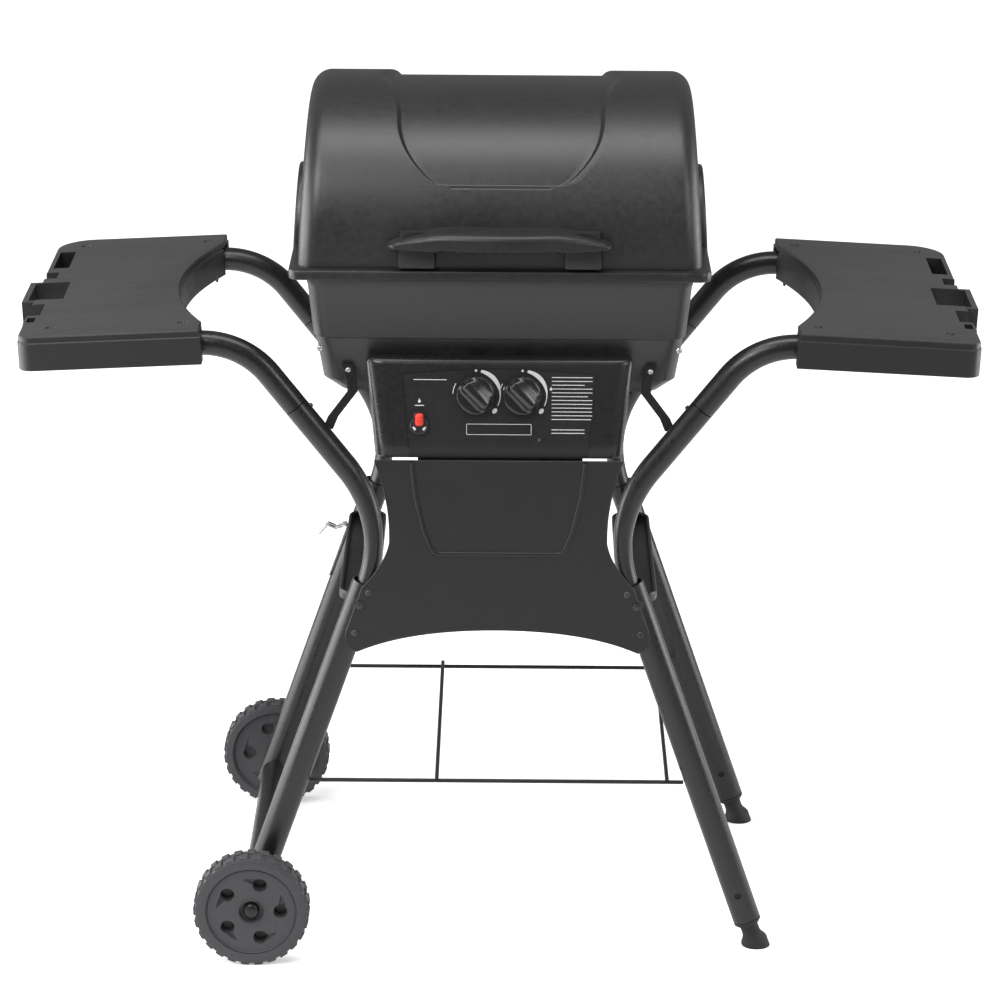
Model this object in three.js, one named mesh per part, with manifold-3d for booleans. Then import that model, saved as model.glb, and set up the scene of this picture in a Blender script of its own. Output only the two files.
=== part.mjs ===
// A two-burner gas barbecue grill: a cast firebox and lid on a cart of bent tubes, with two wheels,
// two moulded side tables, a control console and the gas parts behind it.
// Millimetres. The origin is on the ground under the middle of the cart: +X to the user's right,
// +Y away from the user, +Z up. The console and the lid handle face -Y.
import * as THREE from 'three';
import { mergeVertices } from 'three/addons/utils/BufferGeometryUtils.js';
import Module from 'manifold-3d';

const wasm = await Module();
wasm.setup();

// ---------------------------------------------------------------- driving dimensions

const GAP = 0.3; // between pieces that touch
const RUNNING_GAP = 0.4; // between a turning piece and its pin

const LEG_PLANE = 233; // |y| of every frame tube's centre line
const LEG_FOOT_X = 361; // |x| where a leg's axis meets the ground
const LEG_LEAN = Math.atan(0.349); // from the vertical
const LEG_TOP_Z = 526;
const LEG_RADIUS = 19;
const LEG_WALL = 1.6;
const LEG_BOTTOM_Z = { footed: 40, wheeled: 58 };
const TUBE_RADIUS = 16.5;
const TUBE_WALL = 1.5;
const TUBE_SIDES = 10;
const DIAGONAL_LEAN = THREE.MathUtils.degToRad(38.4); // of the upper frame tubes, from the vertical
const WAIST_Z = 615; // where the diagonal meets the line of the leg
const JOINT_Z = 771; // where the arm plugs into the middle tube
const SHOULDER_Z = 861; // where the diagonal meets the line of the table

const WHEEL_RADIUS = 79.5;
const WHEEL_WIDTH = 37;
const WHEEL_FACE_Y = 320;
const AXLE_RADIUS = 4;

const BOX_TOP_Z = 943; // firebox rim
const BOX_STEP_Z = 857;
const BOX_KNEE_Z = 797;
const BOX_FLOOR_Z = 775;
const BOX_RIM = [257, 210]; // half width and half depth
const CASTING_WALL = 4;
const GRATE_LEDGE_Z = 902;
const TENT_LEDGE_Z = 846;

const LID_HALF_WIDTH = 269;
const LID_HALF_DEPTH = 219;
const LID_BASE_Z = 956;
const LID_HEIGHT = 219;
const LID_LIP = 6; // how far the lid's wall hangs below its base, inside the flange
const LID_NARROWING = 0.045; // share of its width that the lid loses towards its top
const FLANGE = [280, 230];
const HINGE = { y: 244, z: 946, x: 152 };

const TABLE_INNER_X = 394;
const TABLE_TOP_Z = 886;
const TABLE_WIDTH = 243;
const TABLE_HALF_DEPTH = 274;
const TABLE_HEIGHT = 47;
const TABLE_DROOP = THREE.MathUtils.degToRad(2.8);

const CONSOLE = { bottom: 705, crease: 722, top: 836, front: -245, setBack: 20, back: -203 };
const CONSOLE_HALF_WIDTH = [165.5, 178]; // at the bottom and at the top
const KNOB_X = 31;
const KNOB_Z = 789;

const legX = (z) => LEG_FOOT_X - z * Math.tan(LEG_LEAN);
const diagonalX = (z) => legX(WAIST_Z) + (z - WAIST_Z) * Math.tan(DIAGONAL_LEAN);

// ---------------------------------------------------------------- ways of making a solid

const point = (x, y, z) => new THREE.Vector3(x, y, z);

// A closed geometry as a solid that can be joined and cut.
function solidOf(geometry) {
  const bare = geometry.index ? geometry.toNonIndexed() : geometry.clone();
  bare.deleteAttribute('normal');
  bare.deleteAttribute('uv');
  const merged = mergeVertices(bare, 1e-4);
  const shell = new wasm.Mesh({
    numProp: 3,
    vertProperties: merged.attributes.position.array,
    triVerts: new Uint32Array(merged.index.array),
  });
  return new wasm.Manifold(shell);
}

function geometryOf(solid) {
  const shell = solid.getMesh();
  const geometry = new THREE.BufferGeometry();
  geometry.setAttribute('position', new THREE.BufferAttribute(shell.vertProperties, 3));
  geometry.setIndex(new THREE.BufferAttribute(shell.triVerts, 1));
  geometry.computeVertexNormals();
  return geometry;
}

function join(...geometries) {
  return geometryOf(geometries.map(solidOf).reduce((whole, piece) => whole.add(piece)));
}

function cut(geometry, ...tools) {
  return geometryOf(tools.map(solidOf).reduce((rest, tool) => rest.subtract(tool), solidOf(geometry)));
}

function box(low, high) {
  const size = high.map((value, axis) => value - low[axis]);
  const centre = high.map((value, axis) => (value + low[axis]) / 2);
  return new THREE.BoxGeometry(...size).translate(...centre);
}

function roundedRectangle(halfWidth, halfDepth, radius) {
  const shape = new THREE.Shape();
  shape.absarc(halfWidth - radius, halfDepth - radius, radius, 0, Math.PI / 2);
  shape.absarc(-halfWidth + radius, halfDepth - radius, radius, Math.PI / 2, Math.PI);
  shape.absarc(-halfWidth + radius, -halfDepth + radius, radius, Math.PI, Math.PI * 1.5);
  shape.absarc(halfWidth - radius, -halfDepth + radius, radius, Math.PI * 1.5, Math.PI * 2);
  return shape;
}

function plate(shape, thickness, curveSegments = 6) {
  return new THREE.ExtrudeGeometry(shape, { depth: thickness, bevelEnabled: false, curveSegments });
}

// A plate whose shape is drawn in y and z, running from x0 to x1.
function endPlate(shape, x0, x1, curveSegments) {
  const turn = new THREE.Matrix4().makeBasis(point(0, 1, 0), point(0, 0, 1), point(1, 0, 0));
  return plate(shape, x1 - x0, curveSegments).applyMatrix4(turn).translate(x0, 0, 0);
}

// A plate whose shape is drawn in x and z, running from y0 to y1.
function frontPlate(shape, y0, y1, curveSegments) {
  return plate(shape, y1 - y0, curveSegments).rotateX(Math.PI / 2).translate(0, y1, 0);
}

// A solid turned about +Z from a profile of [radius, height] pairs that closes on the axis or on itself.
function turned(profile, sides) {
  const points = profile.map(([radius, height]) => new THREE.Vector2(radius, height));
  if (THREE.ShapeUtils.area(points) < 0) points.reverse();
  return new THREE.LatheGeometry(points, sides).rotateX(Math.PI / 2);
}

// The section of a round bar, or of a tube where it has an inner radius.
function roundSection(outer, inner, sides) {
  const loop = (radius) => Array.from({ length: sides }, (_, i) => {
    const angle = (2 * Math.PI * i) / sides;
    return new THREE.Vector2(radius * Math.cos(angle), radius * Math.sin(angle));
  });
  const section = new THREE.Shape(loop(outer));
  if (inner > 0) section.holes.push(new THREE.Path(loop(inner)));
  return section;
}

// Straight runs joined by round bends, with a stop only where the direction changes.
class BentPath extends THREE.Curve {
  constructor(corners, bendRadius, stepsPerBend = 5) {
    super();
    const last = corners.length - 1;
    const along = (i) => corners[i + 1].clone().sub(corners[i]).normalize();
    this.stops = [{ at: corners[0], along: along(0) }];
    for (let i = 1; i < last; i++) {
      this.turn(corners[i], along(i - 1), along(i), bendRadius, stepsPerBend);
    }
    this.stops.push({ at: corners[last], along: along(last - 1) });
  }

  turn(corner, before, after, radius, steps) {
    const angle = before.angleTo(after);
    if (angle < 1e-3) {
      this.stops.push({ at: corner, along: before });
      return;
    }
    const axis = before.clone().cross(after).normalize();
    const start = corner.clone().addScaledVector(before, -radius * Math.tan(angle / 2));
    const centre = start.clone().addScaledVector(axis.clone().cross(before), radius);
    for (let step = 0; step <= steps; step++) {
      const swing = (angle * step) / steps;
      const at = start.clone().sub(centre).applyAxisAngle(axis, swing).add(centre);
      this.stops.push({ at, along: before.clone().applyAxisAngle(axis, swing) });
    }
  }

  stop(t) {
    return this.stops[Math.round(t * (this.stops.length - 1))];
  }

  getPoint(t) {
    return this.stop(t).at.clone();
  }

  getPointAt(t) {
    return this.getPoint(t);
  }

  getTangentAt(t) {
    return this.stop(t).along.clone();
  }
}

function tubeAlong(path, outer, inner, sides) {
  const section = roundSection(outer, inner, sides);
  return new THREE.ExtrudeGeometry(section, { steps: path.stops.length - 1, extrudePath: path });
}

function bar(from, to, radius, sides = 10) {
  return tubeAlong(new BentPath([from, to], 0), radius, 0, sides);
}

// Draws a tube in where swageAt(stop) gives factors below 1: first across the tube in the plane of
// its bends, then square to that plane.
function swage(geometry, path, radius, swageAt) {
  const position = geometry.attributes.position;
  const square = point(0, 1, 0);
  for (let i = 0; i < position.count; i++) {
    const vertex = new THREE.Vector3().fromBufferAttribute(position, i);
    const near = path.stops.filter((stop) => stop.at.distanceTo(vertex) < radius * 1.1);
    const offPlane = (stop) => Math.abs(vertex.clone().sub(stop.at).dot(stop.along));
    const stop = near.reduce((best, other) => (offPlane(other) < offPlane(best) ? other : best));
    const across = stop.along.clone().cross(square);
    const offset = vertex.clone().sub(stop.at);
    const [flat, deep] = swageAt(stop);
    const drawn = stop.at.clone();
    drawn.addScaledVector(across, offset.dot(across) * flat);
    drawn.addScaledVector(square, offset.dot(square) * deep);
    position.setXYZ(i, drawn.x, drawn.y, drawn.z);
  }
  return geometry;
}

// ---------------------------------------------------------------- finishes

const finish = (colour, roughness, metalness = 0) =>
  new THREE.MeshStandardMaterial({ color: colour, roughness, metalness });

const CAST_BLACK = finish(0x2b2b2c, 0.55, 0.2);
const FRAME_BLACK = finish(0x2f3032, 0.45, 0.3);
const SHEET_BLACK = finish(0x2c2c2d, 0.5, 0.2);
const PLASTIC_BLACK = finish(0x1c1c1e, 0.4);
const TABLE_GREY = finish(0x4b4c4d, 0.65);
const WHEEL_GREY = finish(0x3b3d40, 0.6);
const RUBBER = finish(0x333436, 0.8);
const SIGNAL_RED = finish(0xc83a2c, 0.35);
const STEEL = finish(0xb9bbbd, 0.3, 0.9);
const BLUED_STEEL = finish(0x6f6c69, 0.5, 0.8);
const BRASS = finish(0xb89650, 0.35, 0.9);
const CERAMIC = finish(0xe6e2d8, 0.5);
const IRON_GREY = finish(0x3a3a3b, 0.6, 0.5);

const grill = new THREE.Group();

function add(name, geometry, material, parent = grill) {
  const mesh = new THREE.Mesh(geometry, material);
  mesh.name = name;
  parent.add(mesh);
  return mesh;
}

// The right-hand and left-hand halves of the object. A piece made for +x is mirrored on the left.
const sides = { right: new THREE.Group(), left: new THREE.Group() };
sides.left.scale.x = -1;
grill.add(sides.right, sides.left);

const ends = { front: -1, rear: 1 };

// ---------------------------------------------------------------- cart frame

// A leg in its own frame: along +Z, with the axle's level at 0.
function legGeometry(bottomZ) {
  const along = (z) => (z - WHEEL_RADIUS) / Math.cos(LEG_LEAN);
  const path = new BentPath([point(0, 0, along(bottomZ)), point(0, 0, along(LEG_TOP_Z))], 0);
  const tube = tubeAlong(path, LEG_RADIUS, LEG_RADIUS - LEG_WALL, 16);
  const through = 2 * LEG_RADIUS;
  const axleHole = bar(point(0, -through, 0), point(0, through, 0), AXLE_RADIUS + RUNNING_GAP, 10);
  return cut(tube, axleHole);
}

const footedLeg = legGeometry(LEG_BOTTOM_Z.footed);
const wheeledLeg = legGeometry(LEG_BOTTOM_Z.wheeled);

// A plug that is pressed up into the leg, with a collar, a neck and a pad that stands flat.
function footGeometry() {
  const bore = LEG_RADIUS - LEG_WALL - GAP;
  const profile = [[0, -95], [18.5, -95], [18.5, -76], [12.5, -66], [12.5, -52],
    [19, -46], [19, -42.4], [bore, -42.4], [bore, -20], [0, -20]];
  const foot = turned(profile, 16).rotateY(-LEG_LEAN).translate(legX(WHEEL_RADIUS), 0, WHEEL_RADIUS);
  return cut(foot, box([250, -60, -60], [450, 60, 0]));
}

const foot = footGeometry();

// The middle tube bows in to the waist, and its lower end is squeezed flat to plug into the leg.
function midTubeGeometry() {
  const bendRadius = 170;
  const plugZ = 478;
  const corners = [
    point(diagonalX(JOINT_Z), 0, JOINT_Z),
    point(legX(WAIST_Z), 0, WAIST_Z),
    point(legX(plugZ), 0, plugZ),
  ];
  const path = new BentPath(corners, bendRadius, 5);
  const full = 690;
  const squeezed = 590;
  const tube = tubeAlong(path, TUBE_RADIUS, TUBE_RADIUS - TUBE_WALL, TUBE_SIDES);
  return swage(tube, path, TUBE_RADIUS, (stop) => {
    const share = THREE.MathUtils.clamp((full - stop.at.z) / (full - squeezed), 0, 1);
    return [1 - 0.23 * share, 1];
  });
}

const midTube = midTubeGeometry();

// The arm runs in under the table, bends down, and its swaged end plugs into the middle tube.
function armTubeGeometry() {
  const bendRadius = 112;
  const outerX = 612;
  const plugZ = 736;
  const shoulderX = diagonalX(SHOULDER_Z);
  const stepZ = JOINT_Z + GAP;
  const onDiagonal = (z) => point(diagonalX(z), 0, z);
  const corners = [
    point(outerX, 0, SHOULDER_Z - (outerX - shoulderX) * Math.tan(TABLE_DROOP)),
    point(shoulderX, 0, SHOULDER_Z),
    onDiagonal(stepZ + 1),
    onDiagonal(stepZ),
    onDiagonal(plugZ),
  ];
  const path = new BentPath(corners, bendRadius, 4);
  const plugShare = (TUBE_RADIUS - TUBE_WALL - GAP) / TUBE_RADIUS;
  const tube = tubeAlong(path, TUBE_RADIUS, TUBE_RADIUS - TUBE_WALL, TUBE_SIDES);
  return swage(tube, path, TUBE_RADIUS, (stop) => {
    const share = stop.at.z <= stepZ + 0.01 ? plugShare : 1;
    return [share, share];
  });
}

const armTube = armTubeGeometry();

// A pressed pan between a front and a rear leg, with a tab at each end that is bolted to the leg.
function sideChannelGeometry() {
  const halfLength = 190;
  const halfWidth = 27;
  const rim = 14;
  const sheet = 2;
  const floorZ = 483;
  const x = legX(floorZ + rim / 2);
  const shell = plate(roundedRectangle(halfWidth, halfLength, halfWidth - 1), rim, 5);
  const inside = plate(roundedRectangle(halfWidth - sheet, halfLength - sheet, halfWidth - 1 - sheet), rim, 5);
  const reach = LEG_PLANE - LEG_RADIUS - GAP;
  const tab = box([-9, -reach, 0], [9, reach, sheet]);
  return join(cut(shell, inside.translate(0, 0, sheet)), tab).translate(x, 0, floorZ);
}

const sideChannel = sideChannelGeometry();

// A flat strap from the middle tube up to the firebox wall, drawn upright and then tipped to the wall.
function strapShape() {
  const line = [[229, 735], [222, 752], [196, 786], [197, 800], [204, 822]];
  const half = 7;
  const shape = new THREE.Shape();
  line.forEach(([x, z], i) => (i ? shape.lineTo(x - half, z) : shape.moveTo(x - half, z)));
  line.reverse().forEach(([x, z]) => shape.lineTo(x + half, z));
  return shape;
}

const STRAP = { z: 743, y: 210.5, tip: Math.atan(15 / 72), thickness: 3 };
const strap = frontPlate(strapShape(), 0, STRAP.thickness).translate(0, 0, -STRAP.z);

for (const [side, half] of Object.entries(sides)) {
  const legSource = side === 'right' ? footedLeg : wheeledLeg;
  for (const [end, way] of Object.entries(ends)) {
    const leg = add(`leg_${end}_${side}`, legSource, FRAME_BLACK, half);
    leg.position.set(legX(WHEEL_RADIUS), way * LEG_PLANE, WHEEL_RADIUS);
    leg.rotation.y = -LEG_LEAN;
    const mid = add(`mid_tube_${end}_${side}`, midTube, FRAME_BLACK, half);
    mid.position.y = way * LEG_PLANE;
    const arm = add(`arm_tube_${end}_${side}`, armTube, FRAME_BLACK, half);
    arm.position.y = way * LEG_PLANE;
    const brace = add(`firebox_strap_${end}_${side}`, strap, SHEET_BLACK, half);
    brace.position.set(0, way < 0 ? -STRAP.y - STRAP.thickness : STRAP.y, STRAP.z);
    brace.rotation.x = way * STRAP.tip;
  }
  add(`side_channel_${side}`, sideChannel, SHEET_BLACK, half);
}

for (const [end, way] of Object.entries(ends)) {
  add(`foot_${end}`, foot, RUBBER, sides.right).position.y = way * LEG_PLANE;
}

// ---------------------------------------------------------------- tank bay wires

const WIRE_RADIUS = 2.75;
const WIRE_Z = 240;

function tankWires() {
  const reach = legX(WIRE_Z) - LEG_RADIUS / Math.cos(LEG_LEAN) - 1.5;
  for (const [end, way] of Object.entries(ends)) {
    const y = way * LEG_PLANE;
    const wire = bar(point(-reach, y, WIRE_Z), point(reach, y, WIRE_Z), WIRE_RADIUS, 8);
    add(`tank_wire_${end}`, wire, SHEET_BLACK);
  }
  const z = WIRE_Z + 2 * WIRE_RADIUS + GAP;
  for (const [side, x] of [['left', -82], ['right', 233]]) {
    const wire = bar(point(x, -LEG_PLANE - 4, z), point(x, LEG_PLANE + 4, z), WIRE_RADIUS, 8);
    add(`tank_cross_wire_${side}`, wire, SHEET_BLACK);
  }
}

tankWires();

// A bright wire bent into a narrow U on the rear left leg, its two ends waved outwards as hooks.
function wireHook() {
  const radius = 1.9;
  const besideLeg = (z) => legX(z) + LEG_RADIUS / Math.cos(LEG_LEAN) + radius + GAP;
  const prong = (y) => [
    point(264, y, 447), point(251, y, 461), point(240, y, 456), point(231, y, 458), point(besideLeg(470), y, 470),
  ];
  const near = LEG_PLANE - 6;
  const far = LEG_PLANE + 6;
  const corners = [
    ...prong(near), point(besideLeg(384), near, 384), point(besideLeg(384), far, 384), ...prong(far).reverse(),
  ];
  add('wire_hook', tubeAlong(new BentPath(corners, 3, 2), radius, 0, 6), STEEL, sides.left);
}

wireHook();

// ---------------------------------------------------------------- wheels and axle

const AXLE = { x: legX(WHEEL_RADIUS), z: WHEEL_RADIUS };

// A moulded wheel about +Z: its outer face is at 0 and its hub reaches inwards to the leg.
function wheelGeometry() {
  const bore = AXLE_RADIUS + RUNNING_GAP;
  const hubInner = -(WHEEL_FACE_Y - LEG_PLANE - LEG_RADIUS - 1);
  const profile = [
    [bore, hubInner], [13, hubInner], [13, -31], [62, -31], [66, -WHEEL_WIDTH], [75, -WHEEL_WIDTH],
    [WHEEL_RADIUS, -31], [WHEEL_RADIUS, -6], [75, 0], [62, 0], [60, -3], [17, -3], [15, -9], [bore, -9],
    [bore, hubInner],
  ];
  const recesses = Array.from({ length: 5 }, (_, i) => {
    const recess = turned([[0, -20], [9, -20], [10.5, 1], [0, 1]], 6).translate(40, 0, 0);
    return recess.rotateZ((2 * Math.PI * (i + 0.25)) / 5);
  });
  return cut(turned(profile, 24), ...recesses);
}

// A domed cap nut with a blind hole for the end of the axle.
function axleCapGeometry() {
  const bore = AXLE_RADIUS + RUNNING_GAP;
  return turned([[bore, -8.4], [11, -8.4], [11, -4.5], [8, -1], [0, -0.4], [0, -3], [bore, -3], [bore, -8.4]], 12);
}

const wheel = wheelGeometry();
const axleCap = axleCapGeometry();

for (const [end, way] of Object.entries(ends)) {
  for (const [name, geometry, material] of [['wheel', wheel, WHEEL_GREY], ['axle_cap', axleCap, PLASTIC_BLACK]]) {
    const mesh = add(`${name}_${end}`, geometry, material, sides.left);
    mesh.position.set(AXLE.x, way * WHEEL_FACE_Y, AXLE.z);
    mesh.rotation.x = -way * Math.PI / 2;
  }
}

const rodReach = WHEEL_FACE_Y - 3 - GAP;
const axleRod = bar(point(AXLE.x, -rodReach, AXLE.z), point(AXLE.x, rodReach, AXLE.z), AXLE_RADIUS, 12);
add('axle_rod', axleRod, STEEL, sides.left);

const axleTubeReach = LEG_PLANE - LEG_RADIUS - GAP;
const axleTubePath = new BentPath(
  [point(AXLE.x, -axleTubeReach, AXLE.z), point(AXLE.x, axleTubeReach, AXLE.z)], 0);
add('axle_tube', tubeAlong(axleTubePath, TUBE_RADIUS, TUBE_RADIUS - TUBE_WALL, 14), FRAME_BLACK, sides.left);

// ---------------------------------------------------------------- firebox

// A block with a rounded outline whose half sizes change from its bottom to its top.
function taperedBlock(z0, [hx0, hy0], z1, [hx1, hy1], cornerRadius = 22) {
  const block = plate(roundedRectangle(hx0, hy0, cornerRadius), z1 - z0, 2);
  const position = block.attributes.position;
  for (let i = 0; i < position.count; i++) {
    if (position.getZ(i) < (z1 - z0) / 2) continue;
    position.setX(i, (position.getX(i) * hx1) / hx0);
    position.setY(i, (position.getY(i) * hy1) / hy0);
  }
  return block.translate(0, 0, z0);
}

// The firebox's form, drawn in by the inset on every side and underneath.
function fireboxForm(inset, topZ) {
  const drawnIn = (sizes) => sizes.map((size) => size - inset);
  return join(
    taperedBlock(BOX_FLOOR_Z + inset, drawnIn([205, 160]), BOX_KNEE_Z, drawnIn([236, 188])),
    taperedBlock(BOX_KNEE_Z, drawnIn([236, 188]), BOX_STEP_Z, drawnIn([245.5, 199])),
    taperedBlock(BOX_STEP_Z - (inset ? 2 : 0), drawnIn([248.5, 202]), topZ, drawnIn(BOX_RIM)),
  );
}

// A hinge barrel on the pin's line, from x0 to x1.
const hingeBarrel = (x0, x1) => bar(point(x0, HINGE.y, HINGE.z), point(x1, HINGE.y, HINGE.z), 9.5, 12);

const HINGE_PIN_RADIUS = 4;
const hingeBore = bar(
  point(HINGE.x - 30, HINGE.y, HINGE.z), point(HINGE.x + 30, HINGE.y, HINGE.z), HINGE_PIN_RADIUS + RUNNING_GAP, 12);

const mirrored = (geometry) => geometryOf(solidOf(geometry).mirror([1, 0, 0]));

// Both ends of the swing leg turn in holes in the firebox's end walls.
const SWING = { y: 94, z: 930, radius: 2.5 };

function fireboxGeometry() {
  const lugOutline = new THREE.Shape();
  lugOutline.moveTo(203, 895);
  lugOutline.lineTo(216, 895);
  lugOutline.lineTo(252, 938);
  lugOutline.lineTo(236, BOX_TOP_Z - RUNNING_GAP);
  lugOutline.lineTo(205, BOX_TOP_Z - RUNNING_GAP);
  const lugX = [HINGE.x - 12, HINGE.x - GAP];
  const lug = cut(join(endPlate(lugOutline, ...lugX), hingeBarrel(...lugX)), hingeBore);
  const grateLedge = box([243, -170, GRATE_LEDGE_Z - CASTING_WALL], [254, 170, GRATE_LEDGE_Z]);
  const tentLedge = box([224, -70, TENT_LEDGE_Z - CASTING_WALL], [242, 70, TENT_LEDGE_Z]);
  const halfExtras = [lug, grateLedge, tentLedge];
  const shell = cut(fireboxForm(0, BOX_TOP_Z), fireboxForm(CASTING_WALL, BOX_TOP_Z + 10));
  const whole = join(shell, ...halfExtras, ...halfExtras.map(mirrored));
  const venturiMouth = box([-52, -230, BOX_FLOOR_Z - 10], [52, -130, BOX_KNEE_Z + 9]);
  const greaseHole = turned([[0, -30], [9, -30], [9, 30], [0, 30]], 10).translate(0, 0, BOX_FLOOR_Z);
  const swingHoles = bar(
    point(-BOX_RIM[0] - 5, SWING.y, SWING.z), point(BOX_RIM[0] + 5, SWING.y, SWING.z), SWING.radius + RUNNING_GAP, 10);
  return cut(whole, venturiMouth, greaseHole, swingHoles);
}

add('firebox', fireboxGeometry(), CAST_BLACK);

const pin = turned([[0, 0], [7, 0], [7, 3], [HINGE_PIN_RADIUS, 3], [HINGE_PIN_RADIUS, 31], [0, 31]], 12);
for (const [side, half] of Object.entries(sides)) {
  const mesh = add(`hinge_pin_${side}`, pin, STEEL, half);
  mesh.position.set(HINGE.x + 15.5, HINGE.y, HINGE.z);
  mesh.rotation.y = -Math.PI / 2;
}

// ---------------------------------------------------------------- cooking parts

// A flat grid: a frame with slots along y.
function gridGeometry(halfWidth, halfDepth, thickness, slots) {
  const frame = 7;
  const wire = 5;
  const pitch = (2 * (halfWidth - frame)) / slots;
  const slotReach = halfDepth - frame;
  const cutters = Array.from({ length: slots }, (_, i) => {
    const x = -halfWidth + frame + pitch * i;
    return box([x + wire / 2, -slotReach, -thickness], [x + pitch - wire / 2, slotReach, 2 * thickness]);
  });
  return cut(plate(roundedRectangle(halfWidth, halfDepth, 8), thickness, 3), ...cutters);
}

const grate = add('cooking_grate', gridGeometry(247, 182, 6, 18), IRON_GREY);
grate.position.z = GRATE_LEDGE_Z + GAP;

// A bent sheet over the burners, like a low roof along x, whose two edges rest on the ledges.
function heatTentGeometry() {
  const sheet = 1.6;
  const halfDepth = 150;
  const rise = 33;
  const foot = TENT_LEDGE_Z + RUNNING_GAP;
  const section = [
    [-halfDepth, sheet], [0, rise + sheet], [halfDepth, sheet], [halfDepth - 2, 0], [0, rise], [-halfDepth + 2, 0],
  ];
  const shape = new THREE.Shape(section.map(([y, height]) => new THREE.Vector2(y, foot + height)));
  return endPlate(shape, -234, 234);
}

add('heat_tent', heatTentGeometry(), BLUED_STEEL);

// The warming rack keeps level while the lid opens: it turns on the lid at its back bar, and a
// swing leg from the firebox carries its front, parallel to the line from the hinge to that bar.
const RACK = { y: 130, z: 1052 };
const RACK_EYE = { y: SWING.y - (HINGE.y - RACK.y), z: SWING.z + (RACK.z - HINGE.z) };

function warmingRackGeometry() {
  const grid = gridGeometry(232, 97, 4, 12).translate(0, 33, RACK.z - 2);
  const backBar = bar(point(-259, RACK.y, RACK.z), point(259, RACK.y, RACK.z), 2.5, 8);
  const crossBar = box([-228, RACK_EYE.y - 3, RACK.z - 1.5], [228, RACK_EYE.y + 3, RACK.z + 1.5]);
  const eyeX = 150;
  const eyes = [-eyeX, eyeX].map((x) => {
    const stem = box([x - 2.5, RACK_EYE.y - 2.2, RACK_EYE.z + 4], [x + 2.5, RACK_EYE.y + 2.2, RACK.z]);
    const ring = bar(point(x - 3, RACK_EYE.y, RACK_EYE.z), point(x + 3, RACK_EYE.y, RACK_EYE.z), 6, 10);
    return join(stem, ring);
  });
  const boreReach = eyeX + 20;
  const eyeBore = bar(
    point(-boreReach, RACK_EYE.y, RACK_EYE.z), point(boreReach, RACK_EYE.y, RACK_EYE.z),
    SWING.radius + RUNNING_GAP, 10);
  return cut(join(grid, backBar, crossBar, ...eyes), eyeBore);
}

add('warming_rack', warmingRackGeometry(), STEEL);

const swingX = 245;
const swingCorners = [
  point(-BOX_RIM[0] + 2, SWING.y, SWING.z), point(-swingX, SWING.y, SWING.z), point(-swingX, RACK_EYE.y, RACK_EYE.z),
  point(swingX, RACK_EYE.y, RACK_EYE.z), point(swingX, SWING.y, SWING.z), point(BOX_RIM[0] - 2, SWING.y, SWING.z),
];
add('rack_swing_leg', tubeAlong(new BentPath(swingCorners, 4, 2), SWING.radius, 0, 8), STEEL);

// ---------------------------------------------------------------- lid

// The lid's barrel form, drawn in by the inset: a rounded arch along x with rolled-over ends.
function lidForm(inset) {
  const roundness = 2 / 2.3;
  const halfDepth = LID_HALF_DEPTH - inset;
  const height = LID_HEIGHT - inset;
  const skirt = 60;
  const outline = [new THREE.Vector2(halfDepth, LID_BASE_Z - skirt)];
  const steps = 16;
  for (let i = 0; i <= steps; i++) {
    const angle = (Math.PI * i) / steps;
    const reach = Math.abs(Math.cos(angle)) ** roundness * Math.sign(Math.cos(angle));
    outline.push(new THREE.Vector2(halfDepth * reach, LID_BASE_Z + height * Math.sin(angle) ** roundness));
  }
  outline.push(new THREE.Vector2(-halfDepth, LID_BASE_Z - skirt));
  const roll = 26;
  const halfWidth = LID_HALF_WIDTH - inset;
  const arch = new THREE.ExtrudeGeometry(new THREE.Shape(outline), {
    depth: 2 * (halfWidth - roll), bevelEnabled: true, bevelThickness: roll, bevelSize: roll, bevelOffset: -roll,
    bevelSegments: 2, curveSegments: 1,
  });
  const turn = new THREE.Matrix4().makeBasis(point(0, 1, 0), point(0, 0, 1), point(1, 0, 0));
  arch.applyMatrix4(turn).translate(-halfWidth + roll, 0, 0);
  const position = arch.attributes.position;
  for (let i = 0; i < position.count; i++) {
    const rise = (position.getZ(i) - LID_BASE_Z) / LID_HEIGHT;
    position.setX(i, position.getX(i) * (1 - LID_NARROWING * Math.max(rise, 0)));
  }
  const clear = 400; // past the lid on every side
  return cut(arch, box([-clear, -clear, LID_BASE_Z - clear], [clear, clear, LID_BASE_Z - LID_LIP]));
}

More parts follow.
